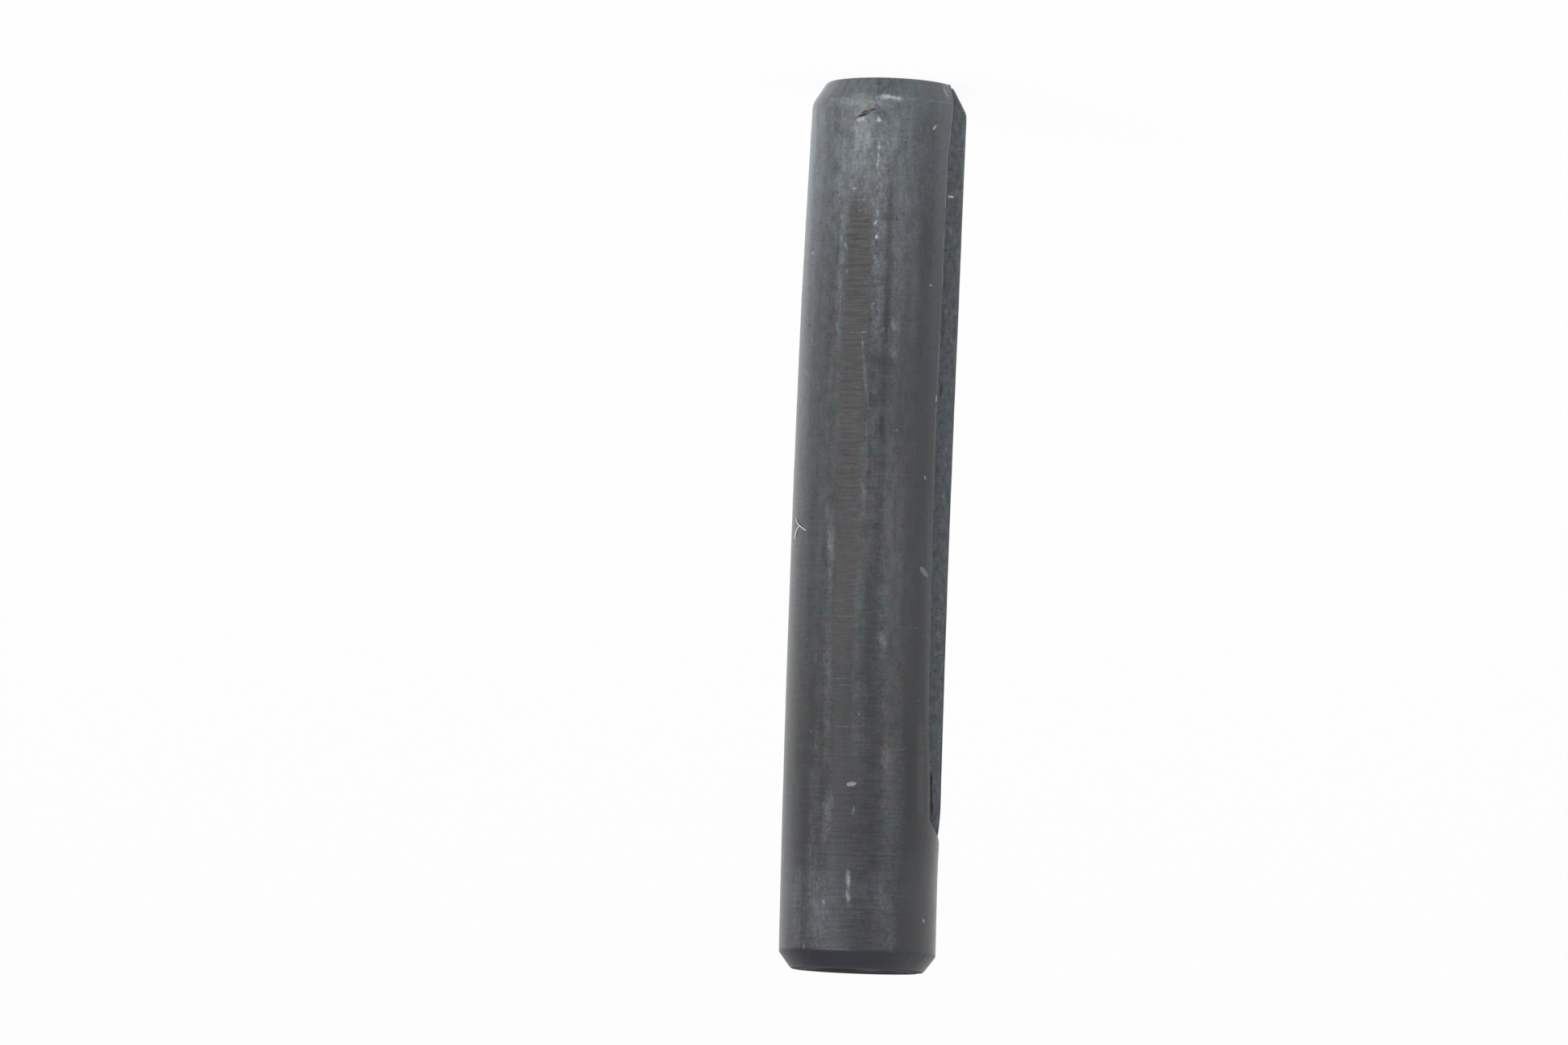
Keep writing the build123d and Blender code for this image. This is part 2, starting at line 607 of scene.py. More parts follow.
def from_axis(pixel):
    """Where a pixel's point stands from the bowed axis, in millimetres: x, y and height."""
    point, _ = seen_at(pixel)
    share = point.z / MM / PIN_LENGTH
    return point.x / MM - BOW * 4 * share * (1 - share), point.y / MM, point.z / MM


def place_on_strip(pixel):
    """How far round the strip and how high on it a pixel is, in millimetres."""
    x, y, height = from_axis(pixel)
    return math.atan2(y, x) % math.tau * SHANK_RADIUS, height


def place_on_cut(pixel):
    """How deep below the outside and how high a pixel on the far lip's sheared face is, in millimetres."""
    x, y, height = from_axis(pixel)
    return SHANK_RADIUS - math.hypot(x, y), height


print("the picture's middle of the pin is at", [round(v, 2) for v in place_on_strip(PIN_MIDDLE_IN_PICTURE)])

# %% [markdown]
# ## Fewer faces in the bore
# The tree gives the bore as many faces as the outside, but nothing happens there. Three of every four
# rows and columns are dissolved on the inside, which leaves more faces for what shows.

# %% Coarser bore
BORE_STEP = 4
INNERMOST_SHARE = 0.001
HALF_A_CELL = 0.5


def coarsen_bore(mesh):
    """Dissolves the bore's edges between every fourth column and row."""
    shape = bmesh.new()
    shape.from_mesh(mesh)
    cell = shape.verts.layers.float_vector["cell"]
    lips = shape.verts.layers.float_vector["lips"]
    inner = {f for f in shape.faces if all(v[lips].z < INNERMOST_SHARE for v in f.verts)}
    spare = []
    for edge in shape.edges:
        if all(face in inner for face in edge.link_faces):
            first, second = (v[cell] for v in edge.verts)
            same = 0 if abs(first.x - second.x) < HALF_A_CELL else 1
            if round(first[same]) % BORE_STEP:
                spare.append(edge)
    bmesh.ops.dissolve_edges(shape, edges=spare, use_verts=True)
    shape.to_mesh(mesh)
    shape.free()


before = len(rolled.data.polygons)
coarsen_bore(rolled.data)
print("faces before and after:", before, len(rolled.data.polygons))

# %% [markdown]
# ## Marks on the strip
# A nick, a pit, a rubbed column and a scratch are all marks with a ragged border. Each is given by the two
# pixels where it starts and ends, and by half its width in millimetres. The same few calculations press a
# mark into the mesh and paint it, so one function builds the group once for geometry and once for shaders.
# A taper of 2 makes an oval, and a larger one makes a column with straight sides.

# %% The mark, for geometry and for paint
MARK_INPUTS = {
    "Place": "NodeSocketVector",
    "Across": 0.0,
    "Height": 0.0,
    "Half Width": 1.0,
    "Half Length": 1.0,
    "Turn": 0.0,
    "Taper": 2.0,
    "Softness": 0.7,
    "Ragged": 0.0,
}


def mark_group(kind):
    """The group that gives 1 inside a mark and 0 outside it. Ragged moves the border in or out."""
    tree, given, out = new_group("Mark", kind, MARK_INPUTS, {"Mask": "NodeSocketFloat"})
    place = split(given["Place"])
    sine, cosine = calc("SINE", given["Turn"]), calc("COSINE", given["Turn"])
    sideways = place[0] - given["Across"]
    upwards = place[1] - given["Height"]
    along = (sideways * sine + upwards * cosine) / given["Half Length"]
    across = (sideways * cosine - upwards * sine) / given["Half Width"]
    reach = calc("SQRT", abs(along) ** given["Taper"] + abs(across) ** 2.0) + given["Ragged"]
    feed(out["Mask"], ramp(reach, 1.0 - given["Softness"], 1.0, 1.0, 0.0, "SMOOTHSTEP"))
    return tree


def mark_inputs(mark, locate):
    """The inputs that lay a mark between its two pixels, which locate turns into millimetres."""
    (across_start, height_start), (across_end, height_end) = locate(mark.start), locate(mark.end)
    run = across_end - across_start, height_end - height_start
    return {
        "Across": (across_start + across_end) / 2,
        "Height": (height_start + height_end) / 2,
        "Half Width": mark.half_width,
        "Half Length": math.hypot(*run) / 2 + mark.half_width,
        "Turn": math.atan2(*run),
    }


pressed_mark = mark_group("GeometryNodeTree")
painted_mark = mark_group("ShaderNodeTree")
print("mark groups:", len(pressed_mark.nodes), "nodes each")

# %% [markdown]
# ## Dents
# Use left a crescent nick and a few pits and flats. The nick is only a few of the strip's faces wide, so
# the faces round it are cut finer first, and its sides can be steep. Cutting the whole pin that fine would
# cost millions of faces for one small scar.

# %% Dents, and finer faces round the nick
Dent = namedtuple("Dent", "start end half_width depth")
DENTS = {
    "crescent nick": Dent((1064.8, 144), (1079.3, 137), 0.10, 0.08),
    "crescent tail": Dent((1078.3, 137.2), (1087.3, 134), 0.06, 0.04),
    "upper pit": Dent((1008.5, 309), (1008.5, 311), 0.06, 0.02),
    "lower pit": Dent((1004, 403), (1005, 405), 0.07, 0.025),
    "long scratch": Dent((1069.5, 417), (1078, 515), 0.05, 0.005),
    "flat on the shank": Dent((1089, 150), (1086, 235), 0.5, 0.012),
    "flat at mid length": Dent((1030, 660), (1029, 690), 0.2, 0.010),
}
NICK_AT = (1074.3, 139.5)
NICK_REACH_MM = 0.75
NICK_CUTS = 2
SKIN_DEPTH_MM = 0.01


def refine_near(mesh, pixel, reach, cuts):
    """Cuts the outside faces finer around a place."""
    centre = Vector((*place_on_strip(pixel), 0.0))
    shape = bmesh.new()
    shape.from_mesh(mesh)
    strip = shape.verts.layers.float_vector["strip"]
    near = {v for v in shape.verts if (v[strip] - centre).length < reach and v[strip].z < SKIN_DEPTH_MM}
    edges = [e for e in shape.edges if e.verts[0] in near and e.verts[1] in near]
    bmesh.ops.subdivide_edges(shape, edges=edges, cuts=cuts, use_grid_fill=True)
    shape.to_mesh(mesh)
    shape.free()


before = len(rolled.data.polygons)
refine_near(rolled.data, NICK_AT, NICK_REACH_MM, NICK_CUTS)
print("dents:", len(DENTS), "and", len(rolled.data.polygons) - before, "faces more round the nick")

# %% [markdown]
# ## Wear in the mesh
# Shearing the strip left rough lips with a burr on one edge. These are real shapes, so a second tree
# pushes the points of the rolled mesh: along the radius for the burr and the dents, and along the girth
# for the torn face of the lips. A bump map would do for the grain, but not where the outline shows it.

# %% How far the skin is pushed
WEAR_SIZES = {
    "Shank Radius": SHANK_RADIUS,
    "Burr Height": 0.018,
    "Burr Width": 0.07,
    "Burr At Corner": 1.6,
    "Tear": 0.03,
    "Tear Reach": 0.12,
    "Handling": 0.008,
    "Dent Raggedness": 0.24,
}
DENT_SOFTNESS = 0.9
DENT_BORDER_NOISE = {"scale": 9.0, "detail": 5.0, "roughness": 0.75}
HANDLING_NOISE = {"scale": 0.8, "detail": 2.0}
BURR_NOISE = {"scale": 1.6, "detail": 3.0, "roughness": 0.7}
BURR_SEED = 3.0
# Each of these is (start, end, value at the start, value at the end), as ramp takes them.
BURR_BREAKS = (0.3, 0.65, 0.25, 1.3)
BURR_FADES_UP_THE_PIN = (8.0, 16.0, 1.0, 0.3)
CORNER_BURR_FROM_TO = (0.3, 1.3)


def skin_push(given, strip, near_gap):
    """How far the outside moves along the radius: handling waves, dents and the burr."""
    height = split(strip)[1]
    push = swing(strip, **HANDLING_NOISE) * given["Handling"]
    ragged = (noise(strip, **DENT_BORDER_NOISE) - 0.5) * given["Dent Raggedness"]
    shared = {"Place": strip, "Softness": DENT_SOFTNESS, "Ragged": ragged}
    for dent in DENTS.values():
        push = push - use_group(pressed_mark, {**mark_inputs(dent, place_on_strip), **shared}) * dent.depth
    burr = ramp(near_gap, 0.0, given["Burr Width"], 1.0, 0.0, "SMOOTHSTEP")
    patchy = ramp(noise(vector(height, BURR_SEED, 0.0), **BURR_NOISE), *BURR_BREAKS)
    patchy = patchy + ramp(height, *CORNER_BURR_FROM_TO, given["Burr At Corner"], 0.0)
    return push + burr * patchy * ramp(height, *BURR_FADES_UP_THE_PIN) * given["Burr Height"]


print("sizes of the wear:", len(WEAR_SIZES))

# %% [markdown]
# The push and the tear are two short moves of each point. Both are turned from the strip's directions into
# the room's by the point's azimuth, and the tree runs on the mesh that the first one made.

# %% The tree that wears the pin
SKIN_SHARES = (0.85, 1.0)
TEAR_DEPTH_STRETCH = 1.4
TEAR_GIRTH_STRETCH = 0.01
TEAR_NOISE = {"scale": 3.0, "detail": 4.0, "roughness": 0.65}


def wear_tree():
    """The tree that presses dents, raises the burr and tears the lips. Its sizes are in millimetres."""
    inputs = {**GEOMETRY, **WEAR_SIZES, **MATERIAL}
    tree, given, out = new_group("Wear the pin", "GeometryNodeTree", inputs, GEOMETRY)
    strip = read_attribute(tree, "strip")
    arc, height, depth = split(strip)
    near_gap, far_gap, wall_share = split(read_attribute(tree, "lips"))
    push = skin_push(given, strip, near_gap) * ramp(wall_share, *SKIN_SHARES, 0.0, 1.0)

    torn = ramp(least(near_gap, far_gap), 0.0, given["Tear Reach"], 1.0, 0.0)
    face = vector(height, depth * TEAR_DEPTH_STRETCH, far_gap * TEAR_GIRTH_STRETCH)
    tear = swing(face, **TEAR_NOISE) * torn * given["Tear"]

    azimuth = arc / given["Shank Radius"]
    sine, cosine = calc("SINE", azimuth), calc("COSINE", azimuth)
    offset = scaled(vector(push * cosine - tear * sine, push * sine + tear * cosine, 0.0), MM)
    moved = wire("GeometryNodeSetPosition", {"Geometry": given["Geometry"], "Offset": offset})
    finish_tree(moved, given["Material"], out)
    return tree


pin = run_tree("pin_tube", wear_tree(), {**WEAR_SIZES, "Material": oxide}, start=rolled.data)
bpy.data.objects.remove(rolled)
pin.data.attributes.remove(pin.data.attributes["cell"])
pin.data.calc_loop_triangles()
print("pin:", len(pin.data.vertices), "points,", len(pin.data.loop_triangles), "triangles")
print("box in mm:", [[round(c / MM, 3) for c in corner] for corner in (pin.bound_box[0], pin.bound_box[6])])

# %% [markdown]
# ## Groups for the finish
# Black oxide is a thin dark skin. It rubs off in streaks along the pin, where the pin slides in its hole,
# and in fine lines across it, where a tool or another part turned. Two groups give these effects, and the
# material places each of them several times with its own values.

# %% Streaks, and worn and highlit edges
STREAK_INPUTS = {
    "Strip": "NodeSocketVector",
    "Across": 1.0,
    "Along": 1.0,
    "Seed": 0.0,
    "Detail": 3.0,
    "Low": 0.3,
    "High": 0.7,
}
EDGE_INPUTS = {
    "Strip": "NodeSocketVector",
    "Distance": 0.0,
    "Width": 0.05,
    "Patchiness": 0.5,
    "Patches": 1.5,
}
PATCHES_BETWEEN_LEVELS = (0.35, 0.6)
PATCH_NOISE = {"detail": 4.0, "roughness": 0.65}
STREAK_NOISE = {"scale": 1.0, "roughness": 0.6}


def streak_group():
    """Stretched noise on the strip, as a value from 0 to 1 between two levels."""
    tree, given, out = new_group("Streaks", "ShaderNodeTree", STREAK_INPUTS, {"Value": "NodeSocketFloat"})
    arc, height, depth = split(given["Strip"])
    place = vector((arc + depth) * given["Across"], height * given["Along"], given["Seed"])
    value = noise(place, detail=given["Detail"], **STREAK_NOISE)
    feed(out["Value"], ramp(value, given["Low"], given["High"], 0.0, 1.0))
    return tree


def edge_group():
    """A line of wear and painted highlight beside an edge, broken up by noise along it."""
    tree, given, out = new_group("Edge wear and highlight", "ShaderNodeTree", EDGE_INPUTS, {"Mask": "NodeSocketFloat"})
    patch = noise(given["Strip"], given["Patches"], **PATCH_NOISE)
    patch = ramp(patch, *PATCHES_BETWEEN_LEVELS, 1.0 - given["Patchiness"], 1.0)
    line = ramp(given["Distance"], 0.0, given["Width"], 1.0, 0.0, "SMOOTHSTEP")
    feed(out["Mask"], line * patch)
    return tree


streaks = streak_group()
worn_edge = edge_group()
print("finish groups:", streaks.name, "and", worn_edge.name)

# %% [markdown]
# ## Painted marks
# Each mark of the photograph that is large enough to notice is painted at its own place. A mark has its
# two end pixels, half its width in millimetres, a colour, a strength, and the share of it that flecks
# break up. The colours are few: rubbed steel, from bare to nearly dark, the brown, the rust, and a dark
# grey and a near black, which paint dark marks and also painted shade and shadow. The burr's colour is
# partly a painted highlight on the lip's edge.

# %% The marks' colours
BARE = (0.50, 0.58, 0.61)
# The burr's colour is edge wear, and partly a painted highlight along the lip's edge.
BURR_AND_HIGHLIGHT = (0.30, 0.32, 0.345)
PALE = (0.25, 0.27, 0.285)
RUBBED = (0.175, 0.182, 0.188)
BEIGE = (0.23, 0.22, 0.17)
UMBER = (0.053, 0.050, 0.046)
WARM_UMBER = (0.057, 0.049, 0.045)
UMBER_LINE = (0.014, 0.010, 0.010)
RUST = (0.11, 0.030, 0.022)
# Near black for dark marks, and for painted shade and shadow in gaps, a crevice and near the tip.
BLACK_MARK_AND_SHADE = (0.006, 0.006, 0.008)
# Dark grey for dark streaks, and for painted shade on the side by the slot and over the middle.
DARK_STREAK_AND_SHADE = (0.018, 0.021, 0.026)
TEAL = (0.09, 0.14, 0.14)
DRIP = (0.30, 0.37, 0.37)
print("colours of rubbed steel, from bare to dark:", [colour[2] for colour in (BARE, BURR_AND_HIGHLIGHT, PALE, RUBBED)])

# %% [markdown]
# ## Columns along the pin
# Sliding into holes and out of them rubbed the skin in columns. The dark columns on the side by the slot,
# and the shade over the middle towards the tip, are painted shade instead. They are the broadest marks,
# so they are painted first, as long marks with straight sides. The brown column carries a hatch of fine
# cross lines.

# %% Columns
Mark = namedtuple("Mark", "start end half_width colour strength flecks")
HATCHED_COLUMNS = {
    "brown column": Mark((1068, 245), (1054, 555), 0.57, UMBER, 0.75, 0.2),
    "brown column's start": Mark((1081, 192), (1075, 268), 0.36, UMBER, 0.55, 0.3),
    "brown column lower down": Mark((1053, 560), (1046.5, 820), 0.52, WARM_UMBER, 0.68, 0.2),
    "brown column's end": Mark((1047.5, 790), (1043.5, 980), 0.50, WARM_UMBER, 0.34, 0.2),
}
COLUMNS = {
    "dark streak": Mark((1106, 205), (1099.5, 425), 0.16, DARK_STREAK_AND_SHADE, 0.60, 0.2),
    "its wide part": Mark((1101, 335), (1098.5, 505), 0.19, DARK_STREAK_AND_SHADE, 0.18, 0.5),
    "dark streak at mid length": Mark((1098, 400), (1092, 690), 0.18, DARK_STREAK_AND_SHADE, 0.40, 0.35),
    "dark streak lower down": Mark((1081, 680), (1079, 965), 0.28, DARK_STREAK_AND_SHADE, 0.75, 0.35),
    "dark column near the tip": Mark((1078, 935), (1075, 1160), 0.32, DARK_STREAK_AND_SHADE, 0.78, 0.3),
    "dark column on the left": Mark((1008, 670), (1005, 950), 0.24, DARK_STREAK_AND_SHADE, 0.50, 0.4),
    # Painted shade on the side by the slot.
    "painted shade on the right side": Mark((1152, 230), (1142, 690), 0.42, DARK_STREAK_AND_SHADE, 0.5, 0.3),
    "painted shade above it": Mark((1153, 140), (1149, 330), 0.65, DARK_STREAK_AND_SHADE, 0.44, 0.4),
    "light column by the streak": Mark((1120, 145), (1111, 480), 0.34, RUBBED, 0.24, 0.6),
    # Painted shade over the middle, growing towards the tip.
    "shade left of the middle": Mark((1047, 560), (1043, 1000), 0.75, DARK_STREAK_AND_SHADE, 0.36, 0.4),
    "shade over the middle": Mark((1056, 780), (1054, 1175), 0.74, DARK_STREAK_AND_SHADE, 0.68, 0.3),
    # Painted shade by the lip, on the side by the slot.
    "painted shade by the lip": Mark((1141, 690), (1139, 895), 0.25, DARK_STREAK_AND_SHADE, 0.55, 0.3),
    "light column lower down": Mark((1109, 540), (1107, 1090), 0.58, RUBBED, 0.22, 0.25),
    "pale line by the streak": Mark((1092, 155), (1085, 430), 0.20, PALE, 0.34, 0.75),
    "light column left of the streak": Mark((1099, 150), (1091.5, 405), 0.22, RUBBED, 0.36, 0.5),
    "dark patch left of the middle": Mark((1040, 1028), (1040, 1054), 0.22, BLACK_MARK_AND_SHADE, 0.30, 0.5),
    "dark patch on the right": Mark((1128, 1040), (1127, 1062), 0.26, DARK_STREAK_AND_SHADE, 0.35, 0.5),
    # Painted shade near the tip, darker still.
    "deep shade before the tip": Mark((1060, 1004), (1058, 1078), 0.84, BLACK_MARK_AND_SHADE, 0.66, 0.5),
    "deep shade at the tip": Mark((1061, 1136), (1061, 1172), 0.80, BLACK_MARK_AND_SHADE, 0.62, 0.5),
    "light at the rim": Mark((1007, 225), (994, 560), 0.36, RUBBED, 0.30, 0.5),
    "light inside the rim": Mark((1013, 200), (1011, 262), 0.36, RUBBED, 0.34, 0.6),
    "dark band on the left": Mark((988, 1045), (1030, 1043), 0.22, BLACK_MARK_AND_SHADE, 0.30, 0.6),
    "lighter stretch near the tip": Mark((1084, 1094), (1084, 1128), 0.45, RUBBED, 0.10, 0.6),
    "light at the rim of the tip": Mark((991, 1084), (989, 1174), 0.34, RUBBED, 0.26, 0.5),
    "light beside the lip": Mark((1154, 610), (1149.5, 940), 0.13, RUBBED, 0.15, 0.4),
    "light by the lip near the gaps": Mark((1143, 895), (1142, 1012), 0.26, RUBBED, 0.13, 0.5),
    "pale line by the brown column": Mark((1047, 250), (1039, 420), 0.14, RUBBED, 0.35, 0.8),
    "pale line at mid length": Mark((1074, 520), (1071, 640), 0.14, RUBBED, 0.35, 0.8),
    "pale column lower down": Mark((1028, 690), (1026, 960), 0.22, RUBBED, 0.18, 0.6),
    "light column near the tip": Mark((1014, 900), (1006, 1120), 0.30, RUBBED, 0.20, 0.5),
    "second pale column lower down": Mark((1063, 700), (1061, 960), 0.20, RUBBED, 0.14, 0.6),
}
FINE_LINES = {
    "dark lines in the brown column": Mark((1069, 225), (1054, 575), 0.52, UMBER_LINE, 0.72, 1.0),
    "dark lines lower down": Mark((1053, 545), (1043.5, 1040), 0.48, UMBER_LINE, 0.62, 1.0),
    "faint lines on the right": Mark((1130, 420), (1116, 1000), 0.75, UMBER_LINE, 0.18, 1.0),
    "pale lines near the tip": Mark((1078, 945), (1070, 1168), 1.50, RUBBED, 0.065, 1.0),
}
print("columns:", len(HATCHED_COLUMNS) + len(COLUMNS), "and sets of fine lines:", len(FINE_LINES))

# %% [markdown]
# ## Rubbed areas
# Where the pin was driven in, and where it lay against something, the skin is rubbed in soft patches
# rather than in lines. Their borders are very soft, and flecks break them up almost wholly.

# %% Rubbed areas
AREAS = {
    "rubbed lead end": Mark((1073, 138), (1070, 185), 0.55, PALE, 0.62, 0.8),
    "rubbed round it": Mark((1068, 135), (1066, 235), 1.10, PALE, 0.48, 0.9),
    "rubbed right of the nick": Mark((1110, 136), (1106, 204), 0.42, PALE, 0.17, 0.7),
    "rubbed below it": Mark((1082, 205), (1080, 262), 0.42, PALE, 0.24, 0.8),
    "rubbed edge of the lead end": Mark((1026, 127), (1096, 127), 0.24, PALE, 0.62, 0.6),
    "rubbed left of the middle": Mark((1044, 140), (1038, 290), 0.42, PALE, 0.34, 0.9),
    "rubbed right of the middle": Mark((1125, 170), (1116, 330), 0.30, RUBBED, 0.15, 0.9),
    "rubbed round the streak": Mark((1031.5, 632), (1031, 705), 0.25, RUBBED, 0.42, 0.6),
    "patch under the middle": Mark((1101, 932), (1102, 952), 0.32, RUBBED, 0.46, 0.8),
    "pale column": Mark((1029, 980), (1027, 1026), 0.26, RUBBED, 0.46, 0.9),
    "pale column's end": Mark((1025, 1010), (1021, 1050), 0.24, RUBBED, 0.34, 0.9),
    "low right patch": Mark((1096, 1106), (1099, 1134), 0.42, RUBBED, 0.40, 0.9),
    "low pale column": Mark((1015, 1090), (1013, 1174), 0.56, RUBBED, 0.44, 0.8),
    "low right glow": Mark((1103, 1150), (1104, 1172), 0.40, RUBBED, 0.26, 0.9),
}
print("rubbed areas:", len(AREAS))

# %% [markdown]
# ## Small marks
# The nick's rust and its near black, the bright chamfer border, scratches, specks and a drip come last,
# over all the others. They are small ovals and lines, so each of them stays where the real one is. The
# bright chamfer border is partly bare steel and partly a painted highlight, with a painted colour fringe.

# %% Small marks
MARKS = {
    "beige patch": Mark((1070, 121), (1084, 123.5), 0.15, BEIGE, 0.55, 0.5),
    # Partly bare steel and partly a painted highlight along the chamfer border.
    "bright chamfer border": Mark((1091, 119), (1109, 121), 0.13, BARE, 0.90, 0.3),
    "its thin end": Mark((1104, 121), (1122, 123), 0.09, BARE, 0.75, 0.5),
    "yellow under the border": Mark((1102, 123.5), (1124, 126.5), 0.06, BEIGE, 0.9, 0.3),
    # A painted colour fringe of the border's highlight.
    "painted colour fringe by the border": Mark((1052, 118), (1090, 117), 0.07, PALE, 0.80, 0.45),
    "light under the border": Mark((1087, 118), (1090.5, 129), 0.10, PALE, 0.75, 0.5),
    "burr at the corner": Mark((1171, 107), (1176, 121), 0.13, BURR_AND_HIGHLIGHT, 0.9, 0.4),
    "bright spot under the nick": Mark((1063.7, 150), (1067.2, 147.5), 0.09, BARE, 0.6, 0.3),
    "second spot under the nick": Mark((1070.2, 146), (1071.7, 149), 0.08, BARE, 0.55, 0.3),
    "third spot under the nick": Mark((1075.5, 144), (1077, 145.5), 0.04, PALE, 0.9, 0.2),
    "pale trail of the nick": Mark((1061.5, 153), (1066, 172), 0.08, PALE, 0.9, 0.6),
    "pale trail beside it": Mark((1077, 150), (1079, 185), 0.13, PALE, 0.6, 0.85),
    "bright spot beside the nick": Mark((1090.5, 145), (1091.5, 151), 0.09, BARE, 0.7, 0.2),
    "its pale trail": Mark((1091.2, 150), (1089, 228), 0.07, BARE, 0.42, 0.7),
    "rust in the nick": Mark((1067.3, 140.4), (1082.3, 135), 0.07, RUST, 0.9, 0.0),
    "dark in the nick": Mark((1063.3, 145.5), (1077.3, 139.3), 0.075, BLACK_MARK_AND_SHADE, 1.0, 0.0),
    "dark in the nick's tail": Mark((1079.3, 137), (1087.8, 133.8), 0.055, BLACK_MARK_AND_SHADE, 0.95, 0.0),
    "pink speck": Mark((1058.5, 234), (1063, 234), 0.06, PALE, 0.9, 0.0),
    "light speck": Mark((1102, 176), (1102, 180), 0.08, PALE, 0.6, 0.3),
    "dark dot": Mark((1105, 254), (1105, 256), 0.05, BLACK_MARK_AND_SHADE, 0.6, 0.0),
    "second dark dot": Mark((1124, 176), (1124, 178), 0.05, BLACK_MARK_AND_SHADE, 0.6, 0.0),
    "first speck on the line": Mark((1089.5, 262), (1089.5, 267), 0.06, PALE, 0.8, 0.3),
    "second speck on the line": Mark((1085, 278), (1088, 275), 0.07, BARE, 0.55, 0.2),
    "third speck on the line": Mark((1088, 292), (1088, 295), 0.065, BARE, 0.7, 0.0),
    "fleck by the brown column": Mark((1044, 293), (1044, 299), 0.06, PALE, 0.55, 0.4),
    "second fleck there": Mark((1048, 301), (1051, 308), 0.08, BARE, 0.28, 0.5),
    "third fleck there": Mark((1045, 318), (1046, 326), 0.05, PALE, 0.35, 0.5),
    "fourth fleck there": Mark((1051, 333), (1051, 340), 0.05, PALE, 0.35, 0.5),
    "dab on the left": Mark((999, 459), (1003, 465), 0.11, PALE, 0.45, 0.5),
    "upper pit": Mark((1008.5, 308), (1008.5, 311), 0.055, BLACK_MARK_AND_SHADE, 0.9, 0.0),
    "light beside the upper pit": Mark((1008, 313), (1009, 315), 0.05, BARE, 0.8, 0.0),
    "lower pit": Mark((1004, 402), (1005, 405), 0.07, BLACK_MARK_AND_SHADE, 0.9, 0.0),
    "bar over the scratch": Mark((1050, 413), (1079, 412), 0.04, PALE, 0.5, 0.9),
    "long scratch": Mark((1069.5, 417), (1078, 515), 0.09, RUBBED, 0.50, 0.6),
    "top of the scratch": Mark((1069.5, 414), (1071, 436), 0.05, PALE, 0.45, 0.6),
    "pale patch": Mark((1093, 411), (1096, 407), 0.12, TEAL, 0.8, 0.4),
    "second pale patch": Mark((1108, 398), (1110, 408), 0.16, PALE, 0.40, 0.5),
    "third pale patch": Mark((1109, 432), (1109, 446), 0.16, PALE, 0.28, 0.5),
    "bright burr by the crevice": Mark((1162.4, 489), (1162.2, 499), 0.045, BARE, 0.8, 0.2),
    "dab": Mark((1108, 534), (1115, 534), 0.05, PALE, 0.35, 0.6),
    "teal glint": Mark((1026, 628), (1026, 641), 0.13, TEAL, 0.6, 0.5),
    "bright streak": Mark((1031, 662), (1031, 692), 0.19, PALE, 0.32, 0.6),
    "its faint tail": Mark((1030, 690), (1031, 740), 0.16, RUBBED, 0.40, 0.7),
    "patch by the dark streak": Mark((1094, 788), (1096, 800), 0.20, PALE, 0.58, 0.6),
    "teal spot": Mark((1012, 812), (1012, 822), 0.13, TEAL, 0.4, 0.6),
    "dot": Mark((1066, 885), (1066, 887), 0.045, PALE, 0.35, 0.0),
    "second dot": Mark((1006.6, 907), (1006.6, 909), 0.045, PALE, 0.45, 0.0),
    "flecks in the middle": Mark((1059, 998), (1058, 1012), 0.10, PALE, 0.35, 0.9),
    "bright drip": Mark((1052.3, 1079), (1052.5, 1103), 0.12, DRIP, 0.65, 0.55),
    "bright drip's end": Mark((1051.8, 1102), (1053, 1123), 0.115, DRIP, 0.50, 0.6),
    "low dab": Mark((1021, 1117), (1023, 1122), 0.07, PALE, 0.50, 0.5),
    "light at the tip's border": Mark((997.5, 1172), (998, 1179), 0.05, PALE, 0.7, 0.3),
}
print("small marks:", len(MARKS))

# %% [markdown]
# A few thin pale lines run straight across the pin, each between two pixels of one level. The far lip's
# sheared face has marks of its own, which are laid by their depth below the skin instead of by the girth.
# Five of them are painted shade and shadow: in a crevice, in a gap at the burr and in the gaps by the lip.

